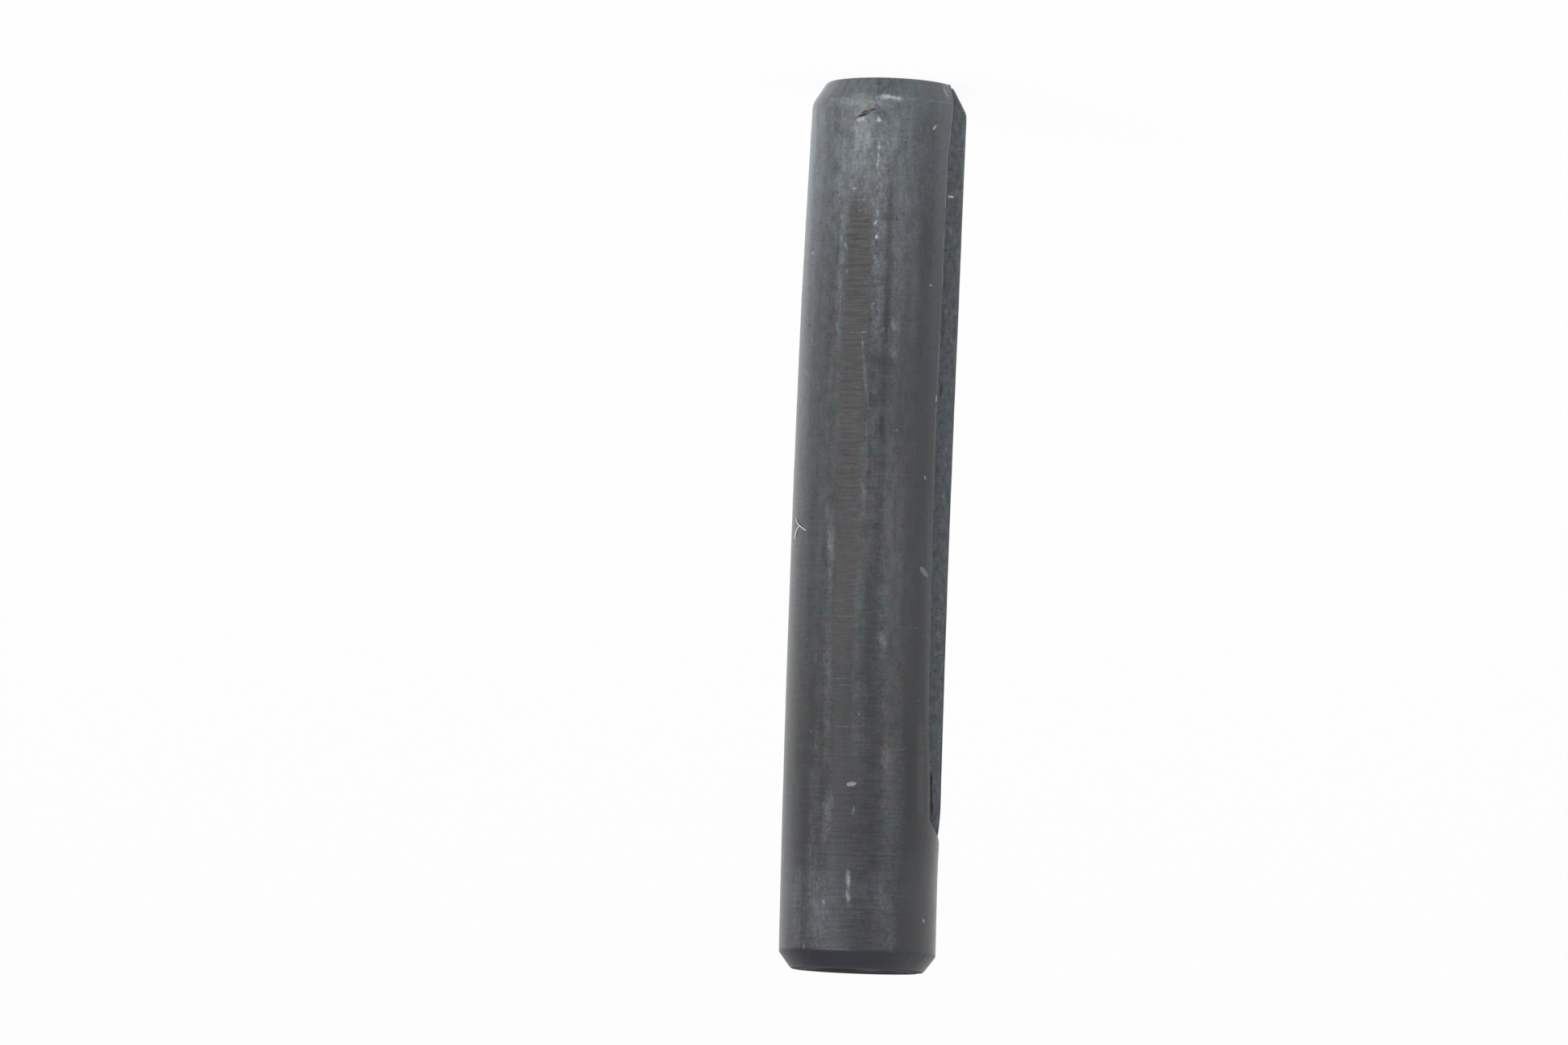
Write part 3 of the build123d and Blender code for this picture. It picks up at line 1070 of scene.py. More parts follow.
# %% Cross lines, and marks on the sheared lip
CROSS_LINES_FROM_TO_AT = (
    (1028, 1043, 555), (1036, 1078, 513), (1043, 1069, 581), (1049, 1081, 645), (1021, 1059, 745),
    (1069, 1083, 734), (1031, 1063, 850), (1127, 1151, 870), (1099, 1129, 930), (1058, 1071, 1132),
    (1097, 1113, 1154), (1085, 1105, 1136), (1040, 1073, 603), (1038, 1071, 618), (1042, 1074, 632),
    (1032, 1068, 765), (1091, 1102, 764), (1034, 1058, 842), (1036, 1062, 902), (1124, 1146, 779),
)
CUT_MARKS = {
    # Painted shade in a crevice and a gap, and painted shadow in the gaps beside the near lip.
    "painted shade in the upper crevice": Mark((1168.5, 474), (1167.5, 495), 0.06, BLACK_MARK_AND_SHADE, 0.9, 0.2),
    "painted shade in the gap at the burr": Mark((1179.5, 110), (1180, 116), 0.05, BLACK_MARK_AND_SHADE, 0.8, 0.0),
    "teal patch": Mark((1188, 306), (1188, 318), 0.08, TEAL, 0.5, 0.4),
    "painted shadow in the upper gap by the lip": Mark((1154.6, 957), (1155.6, 981), 0.105, BLACK_MARK_AND_SHADE, 1.0, 0.0),
    "painted shadow in the thin gap by the lip": Mark((1155.8, 974), (1156, 1000), 0.06, BLACK_MARK_AND_SHADE, 1.0, 0.0),
    "painted shadow in the lower gap by the lip": Mark((1156, 993), (1156.8, 1012), 0.110, BLACK_MARK_AND_SHADE, 1.0, 0.0),
    "light between the gaps": Mark((1159.5, 984), (1159.5, 998), 0.05, TEAL, 0.7, 0.2),
    "dark dash": Mark((1165, 813), (1172, 813), 0.04, BLACK_MARK_AND_SHADE, 0.7, 0.3),
    "second dark dash": Mark((1160, 944), (1166, 944), 0.03, BLACK_MARK_AND_SHADE, 0.6, 0.4),
}
CROSS_LINE = {"half_width": 0.030, "colour": PALE, "strength": 0.30, "flecks": 0.9}
for left, right, level in CROSS_LINES_FROM_TO_AT:
    MARKS[f"cross line at {level}"] = Mark((left, level), (right, level), **CROSS_LINE)
families = HATCHED_COLUMNS, COLUMNS, FINE_LINES, AREAS, MARKS, CUT_MARKS
print("marks:", sum(len(family) for family in families))

# %% [markdown]
# ## The tone of the skin
# The tone first follows the height: the lead end is paler than the rest, partly rubbed and partly painted
# light, as if light fell from that end. Then it follows the girth, and this is painted light and shade: the
# side by the slot is darker, and the left side and its rim are paler. Each is a Color Ramp whose stops are
# heights or places round the pin. Both ends are also a little bluer than the middle.

# %% Tone along and round the pin
# Along the pin: partly rubbed wear and partly painted light, paler at the lead end and darker towards the
# tip.
WEAR_AND_LIGHT_ALONG = (
    (0.0, 0.125), (0.05, 0.115), (0.12, 0.100), (0.175, 0.084), (0.23, 0.070), (0.32, 0.056),
    (0.55, 0.048), (0.68, 0.034), (0.76, 0.025), (0.86, 0.026), (0.91, 0.040), (1.0, 0.030),
)
# Round the pin: painted light and shade, darker by the slot and paler towards the left rim.
PAINTED_LIGHT_ROUND = (
    (0.0, 0.82), (0.10, 0.82), (0.20, 0.92), (0.36, 1.0), (0.53, 0.92), (0.62, 0.90), (0.71, 0.90),
    (0.80, 1.4), (0.88, 1.8), (1.0, 1.35),
)
LEAN_TINTS = (
    (0.0, (0.88, 1.0, 1.10)), (0.35, (0.93, 1.0, 1.07)), (0.75, (0.96, 1.0, 1.07)), (1.0, (0.95, 1.0, 1.17)),
)


def colour_ramp(value, stops):
    """A Color Ramp node's colour. Stops are (place, colour) or (place, level)."""
    node = add_node(value.tree, "ShaderNodeValToRGB", {0: value})
    elements = node.color_ramp.elements
    while len(elements) < len(stops):
        elements.new(0.5)
    for element, (place, colour) in zip(elements, stops):
        element.position = place
        levels = colour if isinstance(colour, tuple) else (colour,) * 3
        element.color = (*levels, 1.0)
    return Wire(node.outputs[0])


def mix_colour(share, first, second):
    """A Mix node for colours. The second shows by its share."""
    inputs = {"Factor": share, 6: first, 7: second}
    return wire("ShaderNodeMix", inputs, output=2, data_type="RGBA", clamp_factor=True)


def skin_tone(height_share, round_share):
    """The tone of the skin at a height and a place round the pin, with its painted light and shade."""
    tone = blend("MULTIPLY", colour_ramp(height_share, WEAR_AND_LIGHT_ALONG), colour_ramp(round_share, PAINTED_LIGHT_ROUND))
    return blend("MULTIPLY", tone, colour_ramp(height_share, LEAN_TINTS))


print("stops along and round the pin:", len(WEAR_AND_LIGHT_ALONG), len(PAINTED_LIGHT_ROUND))

# %% [markdown]
# ## The tint of the skin
# Oxide is a film, so its hue drifts from green through blue and violet to a faint brown, as on oily
# water. Two streaked noises, a broad one and a patchy one, pick their hues from short ramps. The drift
# grows towards the tip, where less of the film is rubbed off.

# %% Tint
DRIFT = {"Across": 1.3, "Along": 0.5, "Seed": 53.0}
DRIFT_TINTS = (
    (0.0, (0.90, 1.04, 1.00)),
    (0.35, (0.97, 1.00, 1.03)),
    (0.65, (1.00, 0.98, 1.05)),
    (1.0, (1.06, 0.99, 0.95)),
)
PATCHES = {"Across": 2.6, "Along": 1.7, "Seed": 67.0, "Detail": 2.0}
PATCH_TINTS = (
    (0.0, (0.75, 1.10, 1.04)),
    (0.3, (0.98, 1.04, 0.93)),
    (0.5, (1.00, 1.00, 1.00)),
    (0.7, (0.99, 0.98, 1.07)),
    (1.0, (1.18, 0.92, 0.99)),
)
TINT_GROWS_UP_THE_PIN = (3.0, 26.0, 0.55, 1.5)
WHITE = (1.0, 1.0, 1.0)
WEAKEST_TINT = (0.35, 0.35, 0.35)


def streaked(strip, settings):
    """The streaks group on the strip, with its own settings."""
    return use_group(streaks, {"Strip": strip, **settings})


def skin_tint(strip, height):
    """The drift of hue over the skin, which is stronger towards the tip."""
    drift = colour_ramp(streaked(strip, DRIFT), DRIFT_TINTS)
    tint = blend("MULTIPLY", drift, colour_ramp(streaked(strip, PATCHES), PATCH_TINTS))
    change = scaled(blend("SUBTRACT", tint, WHITE), ramp(height, *TINT_GROWS_UP_THE_PIN))
    return blend("MAXIMUM", blend("ADD", change, WHITE), WEAKEST_TINT)


print("hues of the film:", len(DRIFT_TINTS) + len(PATCH_TINTS))

# %% [markdown]
# ## The grain of the skin
# Stretched noise in five sizes breaks up the tone, from broad bands to single grains, because the oxide
# was rubbed by things of many sizes. Fine lines across the pin lie over that, and small dark pits.

# %% Texture
STREAK_LAYERS = (
    ("broad bands", 0.60, 0.035, 1.0, 0.16),
    ("medium streaks", 2.4, 0.14, 7.0, 0.22),
    ("fine streaks", 8.0, 1.4, 13.0, 0.16),
    ("mottle", 3.2, 1.8, 23.0, 0.34),
    ("grain", 13.0, 10.0, 31.0, 0.28),
)
HATCH = {"Across": 0.9, "Along": 10.0, "Seed": 41.0, "Detail": 4.0, "Low": 0.42, "High": 0.66}
HATCH_GROWS_UP_THE_PIN = (5.0, 22.0, 0.14, 0.32)
FLECKS = {"Across": 9.0, "Along": 3.6, "Seed": 59.0, "Low": 0.46, "High": 0.62}
PITS = {"Across": 8.0, "Along": 6.5, "Seed": 83.0, "Low": 0.62, "High": 0.68}
PITS_FADE_UP_THE_PIN = (4.0, 14.0, -0.40, -0.22)
TEXTURE_ROUND = ((0.05, 0.3), (0.36, 1.0), (0.60, 1.0), (0.75, 0.8))
DARKEST_GRAIN = 0.25


def skin_texture(strip, height, round_share, layers, hatch):
    """The factor, about 1, that noise in five sizes, fine lines and pits give the skin's tone."""
    swings = (hatch - 0.5) * ramp(height, *HATCH_GROWS_UP_THE_PIN)
    for name, _, _, _, amount in STREAK_LAYERS:
        swings = swings + (layers[name] - 0.5) * (2 * amount)
    swings = swings * colour_ramp(round_share, TEXTURE_ROUND)
    pits = streaked(strip, PITS) * ramp(height, *PITS_FADE_UP_THE_PIN)
    return calc("MAXIMUM", swings + 1.0 + pits, DARKEST_GRAIN)


print("tone layers:", [layer[0] for layer in STREAK_LAYERS])

# %% [markdown]
# Every step of the finish reads the same few places and noises, so they are made once and handed on as one
# bundle. The cast is the tint times the grain, which still shows faintly through whatever is painted on.

# %% The skin that every step reads
ARC_AT_NEAR_LIP = 10.2
ARC_AT_LEFT_RIM = 16.8
FRAYED_NOISE = {"scale": 8.0, "detail": 5.0, "roughness": 0.75}
Skin = namedtuple(
    "Skin",
    "strip cut height depth near_gap far_gap wall_share round_share layers tint cast hatch flecks ragged",
)


def read_point(tree, name):
    """A vector that the rolling tree wrote, read by a material."""
    settings = {"attribute_name": name, "attribute_type": "GEOMETRY"}
    return Wire(add_node(tree, "ShaderNodeAttribute", **settings).outputs["Vector"])


def read_skin(tree):
    """The places that the rolling tree wrote, and the noises that several steps share."""
    strip = read_point(tree, "strip")
    arc, height, depth = split(strip)
    layers = {}
    for name, across, along, seed, _ in STREAK_LAYERS:
        layers[name] = streaked(strip, {"Across": across, "Along": along, "Seed": seed})
    hatch, flecks = streaked(strip, HATCH), streaked(strip, FLECKS)
    ragged = swing(strip, **FRAYED_NOISE)
    cut = vector(depth, height, 0.0)
    round_share = ramp(arc, ARC_AT_NEAR_LIP, ARC_AT_LEFT_RIM, 0.0, 1.0)
    tint = skin_tint(strip, height)
    cast = scaled(tint, skin_texture(strip, height, round_share, layers, hatch))
    places = strip, cut, height, depth, *split(read_point(tree, "lips")), round_share
    return Skin(*places, layers, tint, cast, hatch, flecks, ragged)


print("the skin hands on:", ", ".join(Skin._fields))

# %% [markdown]
# ## Painting a family of marks
# Each mark is a mask over the colour so far. A column is interrupted by the hatch, an area by flecks and
# mottle, and a small mark by flecks alone. Where the cast shows through, the mark looks rubbed into the
# skin; without it, the mark looks as if it lay on top.

# %% Painting marks
RAGGED_ON_CUT = 0.3
HATCHED_STYLE = {"taper": 8.0, "softness": 0.4}
COLUMN_STYLE = {"taper": 6.0}
AREA_STYLE = {"taper": 3.0, "softness": 0.95}
SMALL_STYLE = {"softness": 0.9}
AREA_BREAKS = 0.55


def paint_marks(colour, skin, marks, on_cut=False, taper=2.0, softness=0.7, breaks=None, cast=None):
    """Paints a family of marks over a colour. Breaks interrupt them, and the cast shows through them."""
    place, locate = (skin.cut, place_on_cut) if on_cut else (skin.strip, place_on_strip)
    ragged = skin.ragged * RAGGED_ON_CUT if on_cut else skin.ragged
    shared = {"Place": place, "Taper": taper, "Softness": softness, "Ragged": ragged}
    for mark in marks.values():
        mask = use_group(painted_mark, {**mark_inputs(mark, locate), **shared})
        whole, broken = (1 - mark.flecks) * mark.strength, mark.flecks * mark.strength
        strength = calc("MULTIPLY_ADD", breaks or skin.flecks, broken, whole)
        paint = blend("MULTIPLY", mark.colour, cast) if cast else mark.colour
        colour = mix_colour(mask * strength, colour, paint)
    return colour


def paint_all_marks(colour, skin):
    """Paints every family on the skin, the broadest first."""
    hatched = {**HATCHED_STYLE, "breaks": skin.hatch, "cast": skin.tint}
    colour = paint_marks(colour, skin, HATCHED_COLUMNS, **hatched)
    # The columns include painted shade: on the side by the slot and over the middle towards the tip.
    colour = paint_marks(colour, skin, COLUMNS, cast=skin.cast, **COLUMN_STYLE)
    colour = paint_marks(colour, skin, FINE_LINES, **hatched)
    breaks = (skin.flecks + skin.layers["mottle"]) * AREA_BREAKS
    colour = paint_marks(colour, skin, AREAS, breaks=breaks, cast=skin.tint, **AREA_STYLE)
    return paint_marks(colour, skin, MARKS, **SMALL_STYLE)


print("families of marks on the skin and the cut:", len(families))

# %% [markdown]
# ## Worn and highlit edges
# The near lip carries a bright burr, which fades up the pin, and the border of the lead chamfer is rubbed
# bright here and there. The burr's brightness is partly wear and partly a painted highlight, where the
# rounded lip catches the light. Both run the whole length of an edge, so the distance from the edge makes
# them, which the rolling tree wrote down, and no marks have to be laid one after another.

# %% Burr and chamfer border
BURR_WIDENS_UP_THE_PIN = (8.0, 16.0, 0.09, 0.22)
BURR_DULLS_UP_THE_PIN = (6.0, 14.0, 0.7, 0.12)
BURR_PATCHES = {"Patchiness": 0.85, "Patches": 1.4}
BORDER = {"Width": 0.07, "Patchiness": 0.95, "Patches": 2.6}
BORDER_STRENGTH = 0.35


def worn_and_highlit_edges(colour, skin):
    """The bright burr on the near lip, worn and partly a painted highlight, and the border of the lead
    chamfer.
    """
    width = ramp(skin.height, *BURR_WIDENS_UP_THE_PIN)
    edge = {"Strip": skin.strip, "Distance": skin.near_gap, "Width": width, **BURR_PATCHES}
    burr = use_group(worn_edge, edge) * ramp(skin.height, *BURR_DULLS_UP_THE_PIN)
    # Pale paint on the burr, partly a painted highlight.
    colour = mix_colour(burr, colour, BURR_AND_HIGHLIGHT)
    to_border = abs(skin.height - LEAD_CHAMFER_LENGTH)
    border = use_group(worn_edge, {"Strip": skin.strip, "Distance": to_border, **BORDER})
    return mix_colour(border * BORDER_STRENGTH, colour, PALE)


print("the burr is", BURR_WIDENS_UP_THE_PIN[2], "to", BURR_WIDENS_UP_THE_PIN[3], "mm wide")

# %% [markdown]
# ## The sheared lips and the bore
# Nothing ever rubbed these faces. The lips were torn by the shear, so they are rough, with dark dashes
# across them, and slightly paler than the skin. The bore is plain dark oxide.

# %% Lips and bore
CUT_TONES = (
    (0.0, (0.042, 0.052, 0.058)),
    (0.5, (0.084, 0.093, 0.102)),
    (0.85, (0.112, 0.121, 0.132)),
    (1.0, (0.22, 0.23, 0.25)),
)
TORN = {"Across": 7.0, "Along": 3.2, "Seed": 61.0, "Detail": 5.0, "Low": 0.30, "High": 0.70}
DASHES = {"Across": 5.0, "Along": 11.0, "Seed": 71.0, "Detail": 4.0, "Low": 0.34, "High": 0.42}
DASH_TONES = ((0.0, 0.45), (1.0, 1.0))
CUT_DARKENS_UP_THE_PIN = (1.0, 6.0, 1.25, 1.0)
CUT_FROM_LIP_GAP = (0.004, 0.02, 1.0, 0.0)
CUT_BELOW_SKIN = (0.02, 0.06, 0.0, 1.0)
BORE_BY_WALL_SHARE = (0.0, 0.05, 0.6, 0.0)
BORE_COLOUR = (0.030, 0.030, 0.033)


def sheared_and_bore(colour, skin):
    """The torn faces of the two lips, and the dark bore."""
    on_cut = ramp(least(skin.near_gap, skin.far_gap), *CUT_FROM_LIP_GAP)
    below_skin = ramp(skin.depth, *CUT_BELOW_SKIN)
    cut_colour = blend("MULTIPLY", colour_ramp(streaked(skin.strip, TORN), CUT_TONES), skin.tint)
    cut_colour = blend("MULTIPLY", cut_colour, colour_ramp(streaked(skin.strip, DASHES), DASH_TONES))
    cut_colour = scaled(cut_colour, ramp(skin.height, *CUT_DARKENS_UP_THE_PIN))
    # The cut marks paint shadow into the gaps beside the near lip and shade into a crevice.
    cut_colour = paint_marks(cut_colour, skin, CUT_MARKS, on_cut=True)
    colour = mix_colour(on_cut * below_skin, colour, cut_colour)
    return mix_colour(ramp(skin.wall_share, *BORE_BY_WALL_SHARE), colour, BORE_COLOUR)


print("tones of the sheared lips:", len(CUT_TONES))

# %% [markdown]
# ## The chamfer at the tip
# The chamfer at the tip is dull and almost black, a little paler beside the near lip. Its border is ragged,
# so the height is first shaken by the same noise that frays the marks. The flat end behind it is darker
# still.

# %% Tip chamfer and end
TIP_START = PIN_LENGTH - TIP_CHAMFER_LENGTH
TIP_BORDER_FROM_TO = (TIP_START - 0.09, TIP_START + 0.03)
END_FROM_TO = (PIN_LENGTH - 0.05, PIN_LENGTH - 0.01)
TIP_TONES = (
    (0.10, (0.050, 0.052, 0.058)),
    (0.22, (0.038, 0.038, 0.046)),
    (0.42, (0.033, 0.034, 0.042)),
    (0.60, (0.027, 0.027, 0.035)),
)
TIP_BORDER_SHAKE = 0.12
TIP_STRENGTH = 0.92
END_COLOUR = (0.010, 0.010, 0.012)


def tip_masks(skin):
    """How far a point is on the chamfer at the tip, and on the flat end."""
    level = calc("MULTIPLY_ADD", skin.ragged, TIP_BORDER_SHAKE, skin.height)
    return ramp(level, *TIP_BORDER_FROM_TO, 0.0, 1.0), ramp(skin.height, *END_FROM_TO, 0.0, 1.0)


print("the chamfer at the tip starts at", round(TIP_START, 2), "mm")

# %% [markdown]
# ## Sheen and grain
# A thin film of oil gives oxide its soft sheen, which is a clear coat here. The chamfer at the tip is dry,
# so the metal and the coat change there. The grain is far too fine for the mesh, so a bump makes it.

# %% Roughness, metal and coat
SKIN_ROUGHNESS = 0.38
MOTTLE_ROUGHENS = 0.10
STREAKS_ROUGHEN = 0.08
LIP_ROUGHENS = 0.3
LIP_REACH_MM = 0.08
OXIDE_METALLIC = 0.45
TIP_METALLIC_GAIN = 0.5
OXIDE_COAT = 0.5
TIP_COAT_GAIN = -0.35
COAT_ROUGHNESS = 0.25
BUMP_SHARES = {"grain": 0.6, "fine streaks": 0.4}
HATCH_BUMP_SHARE = 0.5
BUMP_DISTANCE_MM = 0.007
BUMP_STRENGTH = 0.8


def surface_inputs(skin, at_tip, on_end):
    """The shader's inputs other than its colour: how rough, how metallic, how oily and how bumpy."""
    off_lip = ramp(skin.near_gap, 0.0, LIP_REACH_MM, 0.0, 1.0)
    rough = calc("MULTIPLY_ADD", skin.layers["mottle"], MOTTLE_ROUGHENS, SKIN_ROUGHNESS)
    rough = calc("MULTIPLY_ADD", skin.layers["fine streaks"], STREAKS_ROUGHEN, rough)
    rough = calc("MAXIMUM", rough, on_end)
    rough = calc("MULTIPLY_ADD", 1.0 - off_lip, LIP_ROUGHENS, rough)
    metallic = calc("MULTIPLY_ADD", at_tip, TIP_METALLIC_GAIN, OXIDE_METALLIC)
    coat = calc("MULTIPLY_ADD", at_tip, TIP_COAT_GAIN, OXIDE_COAT)
    grain, fine = (skin.layers[name] * share for name, share in BUMP_SHARES.items())
    bumps = grain + fine + skin.hatch * HATCH_BUMP_SHARE
    bump = {"Height": bumps, "Distance": BUMP_DISTANCE_MM * MM, "Strength": BUMP_STRENGTH}
    not_end = 1.0 - on_end
    return {
        "Metallic": metallic * not_end,
        "Roughness": rough,
        "Normal": wire("ShaderNodeBump", bump),
        "Coat Weight": coat * not_end * off_lip,
        "Coat Roughness": COAT_ROUGHNESS,
    }


print("bump:", BUMP_DISTANCE_MM, "mm at most")

# %% [markdown]
# ## The black oxide material
# The marks come over the skin, then the worn and highlit edges, and last the darker faces where nothing
# rubs, because no wear may spill onto them. The shader stands in the material itself, as only masks and
# colours may come out of a group.

# %% Building the material
def paint_oxide(material):
    """Builds the pin's finish in its material."""
    tree = material.node_tree
    tree.nodes.clear()
    skin = read_skin(tree)
    # The skin's tone carries painted light and shade along and round the pin.
    colour = blend("MULTIPLY", skin_tone(skin.height / PIN_LENGTH, skin.round_share), skin.cast)
    colour = worn_and_highlit_edges(paint_all_marks(colour, skin), skin)
    at_tip, on_end = tip_masks(skin)
    colour = mix_colour(at_tip * TIP_STRENGTH, colour, colour_ramp(skin.round_share, TIP_TONES))
    colour = mix_colour(on_end, sheared_and_bore(colour, skin), END_COLOUR)
    shader = {"Base Color": colour, **surface_inputs(skin, at_tip, on_end)}
    surface = wire("ShaderNodeBsdfPrincipled", shader)
    add_node(tree, "ShaderNodeOutputMaterial", {"Surface": surface})


paint_oxide(oxide)
print("oxide material:", len(oxide.node_tree.nodes), "nodes")

# %% [markdown]
# ## Dust: where it lies
# A few pale flakes lie on the pin. Each is laid between two pixels, flat on the surface, so a loose point
# stands for it that knows its outward direction, its length and its width. The balls come later.

# %% Places of the flakes
Flake = namedtuple("Flake", "start end half_width paleness")
FLAKES = {
    "slanted flake": Flake((1158.8, 160), (1161.2, 156.5), 0.045, 0.32),
    "flake on the lip": Flake((1177, 244), (1182, 244.5), 0.045, 0.62),
    "speck": Flake((1155, 353.5), (1155, 354.5), 0.028, 0.32),
    "second speck": Flake((1147.5, 591.5), (1148.5, 594.5), 0.032, 0.22),
    "long flake": Flake((1143.8, 706), (1149.8, 713.5), 0.095, 0.15),
    "pale dab": Flake((1053, 973.5), (1060.5, 972.5), 0.075, 0.21),
    "low speck": Flake((1145.5, 1142), (1147, 1144), 0.050, 0.24),
    "speck on the left": Flake((1009, 422), (1009, 423), 0.025, 0.22),
}


def flake_points():
    """A mesh of loose points, one at each flake, with its two directions and its sizes."""
    values = {"place": [], "outward": [], "lengthwise": [], "size": [], "pale": []}
    for flake in FLAKES.values():
        (start, normal), (end, _) = seen_at(flake.start), seen_at(flake.end)
        values["place"].append((start + end) / 2)
        values["outward"].append(normal)
        values["lengthwise"].append((end - start).normalized())
        values["size"].append(((end - start).length / 2 / MM + flake.half_width, flake.half_width, 0.0))
        values["pale"].append((flake.paleness,) * 3)
    mesh = bpy.data.meshes.new("flake_points")
    mesh.from_pydata(values.pop("place"), [], [])
    for name, vectors in values.items():
        layer = mesh.attributes.new(name, "FLOAT_VECTOR", "POINT")
        layer.data.foreach_set("vector", [number for value in vectors for number in value])
    return mesh


flakes_at = flake_points()
print("flakes:", len(flakes_at.vertices))

# %% [markdown]
# ## Dust: the flakes
# A flake is a small ball on its point, squashed to its sizes and turned to lie flat and along its own
# length. Modelling each flake by hand would look no better at a twentieth of a millimetre.

# %% Balls for the flakes
DUST_SIZES = {
    "Flake Thickness": 0.02,
    "Grains Per Square Metre": 2.0e5,
    "Smallest Grain": 0.006,
    "Largest Grain": 0.020,
    "Grain Paleness": 0.15,
    "Roughening": 0.012,
    "Seed": 4,
}
FLAKE_SMOOTHNESS = 3


def scatter(tree, points, smoothness, rotation, size):
    """Balls on points, turned and squashed. Sizes are in millimetres."""
    ball = add_node(tree, "GeometryNodeMeshIcoSphere", {"Radius": MM, "Subdivisions": smoothness})
    inputs = {"Points": points, "Instance": Wire(ball.outputs[0]), "Rotation": rotation, "Scale": size}
    return wire("GeometryNodeInstanceOnPoints", inputs)


def laid_flakes(tree, given):
    """The flakes, each flat on the surface and turned along its own length."""
    points = wire("GeometryNodeMeshToPoints", {"Mesh": given["Geometry"]})
    axes = {0: read_attribute(tree, "outward"), 1: read_attribute(tree, "lengthwise")}
    rotation = wire("FunctionNodeAxesToRotation", axes, primary_axis="Z", secondary_axis="X")
    half_length, half_width, _ = split(read_attribute(tree, "size"))
    size = vector(half_length, half_width, given["Flake Thickness"])
    return scatter(tree, points, FLAKE_SMOOTHNESS, rotation, size)


print("sizes of the dust:", DUST_SIZES)

# %% [markdown]
# ## Dust: the grains
# A sprinkle of much smaller grains is left to chance, with a fixed seed, over the outside of the pin only.
# Raising the chance to a power makes most of them small, as dust is.

# %% Balls for the grains
GRAIN_SMOOTHNESS = 2
SHARE_OF_SMALL_GRAINS = 3.0
GRAIN_FLATNESS = 0.7
OUTSIDE_SHARE = 0.2


def sprinkled_grains(tree, given):
    """Grains at random places on the outside, most of them small."""
    surface = wire("GeometryNodeObjectInfo", {"Object": given["Pin"]}, output="Geometry")
    outside = calc("GREATER_THAN", split(read_attribute(tree, "lips"))[2], OUTSIDE_SHARE)
    spread = {"Mesh": surface, "Selection": outside, "Density": given["Grains Per Square Metre"]}
    grains = add_node(tree, "GeometryNodeDistributePointsOnFaces", {**spread, "Seed": given["Seed"]})
    chance = wire("FunctionNodeRandomValue", {"Seed": given["Seed"]}, output=1, data_type="FLOAT")
    size = ramp(chance ** SHARE_OF_SMALL_GRAINS, 0.0, 1.0, given["Smallest Grain"], given["Largest Grain"])
    pale = vector(*[given["Grain Paleness"]] * 3)
    points = store(Wire(grains.outputs["Points"]), "pale", pale)
    rotation = Wire(grains.outputs["Rotation"])
    return scatter(tree, points, GRAIN_SMOOTHNESS, rotation, vector(size, size, size * GRAIN_FLATNESS))


print("largest grain:", DUST_SIZES["Largest Grain"], "mm")

# %% [markdown]
# The two kinds are joined, made real and pushed about by noise, so that none of them looks like a ball.
# The tree runs on the loose points, and takes the pin itself as one of its inputs.

# %% The dust on the pin
LUMPS_PER_MM = 18.0
MIDDLE_GREY = (0.5, 0.5, 0.5)
DUST_ROUGHNESS = 0.9


def dust_tree():
    """The tree that lays flakes on their points and sprinkles grains over the pin."""
    inputs = {**GEOMETRY, "Pin": "NodeSocketObject", **DUST_SIZES, **MATERIAL}
    tree, given, out = new_group("Dust", "GeometryNodeTree", inputs, GEOMETRY)
    both = tree.nodes.new("GeometryNodeJoinGeometry")
    for geometry in (laid_flakes(tree, given), sprinkled_grains(tree, given)):
        feed(both.inputs[0], geometry)
    real = wire("GeometryNodeRealizeInstances", {"Geometry": Wire(both.outputs[0])})
    place = Wire(add_node(tree, "GeometryNodeInputPosition").outputs[0])
    lumps = {"Vector": place, "Scale": LUMPS_PER_MM / MM, "Detail": 2.0}
    lumps = blend("SUBTRACT", wire("ShaderNodeTexNoise", lumps, output=1), MIDDLE_GREY)
    offset = scaled(lumps, given["Roughening"] * MM)
    moved = wire("GeometryNodeSetPosition", {"Geometry": real, "Offset": offset})
    finish_tree(moved, given["Material"], out)
    return tree


def matte_material(name, roughness, colour=MIDDLE_GREY, paleness=None):
    """A matte material of one colour, or one whose colour is a point attribute."""
    made = bpy.data.materials.new(name)
    made.use_nodes = True
    shader = made.node_tree.nodes["Principled BSDF"]
    feed(shader.inputs["Roughness"], roughness)
    feed(shader.inputs["Base Color"], colour)
    if paleness:
        feed(shader.inputs["Base Color"], read_point(made.node_tree, paleness))
    return made


dust_settings = {**DUST_SIZES, "Pin": pin}
dust_settings["Material"] = matte_material("pale_dust", DUST_ROUGHNESS, paleness="pale")
dust = run_tree("dust", dust_tree(), dust_settings, start=flakes_at)
for name in ("outward", "lengthwise", "size"):
    dust.data.attributes.remove(dust.data.attributes[name])
print("dust:", len(FLAKES), "flakes;", len(dust.data.polygons), "faces with the grains")

# %% [markdown]
# ## A lint fibre
# The fibre is a curve through a few pixels, lifted a hair's breadth off the skin between its ends. Its
# fork is a second curve that starts on the first one. A curve with a round bevel is a thread already, and
# the evaluated object turns it into a plain mesh.

# %% The lint fibre
LINT_PATHS = (
    ((988.5, 644), (990.5, 649), (994, 653), (1000.5, 658.5)),
    ((993, 652), (989.5, 658), (988, 663), (987, 669)),
)
LINT_RADIUS_MM = 0.017
LINT_LIFT_MM = (0.010, 0.025, 0.025, 0.008)
LINT_COLOUR = (0.66, 0.67, 0.66)
LINT_ROUGHNESS = 0.8


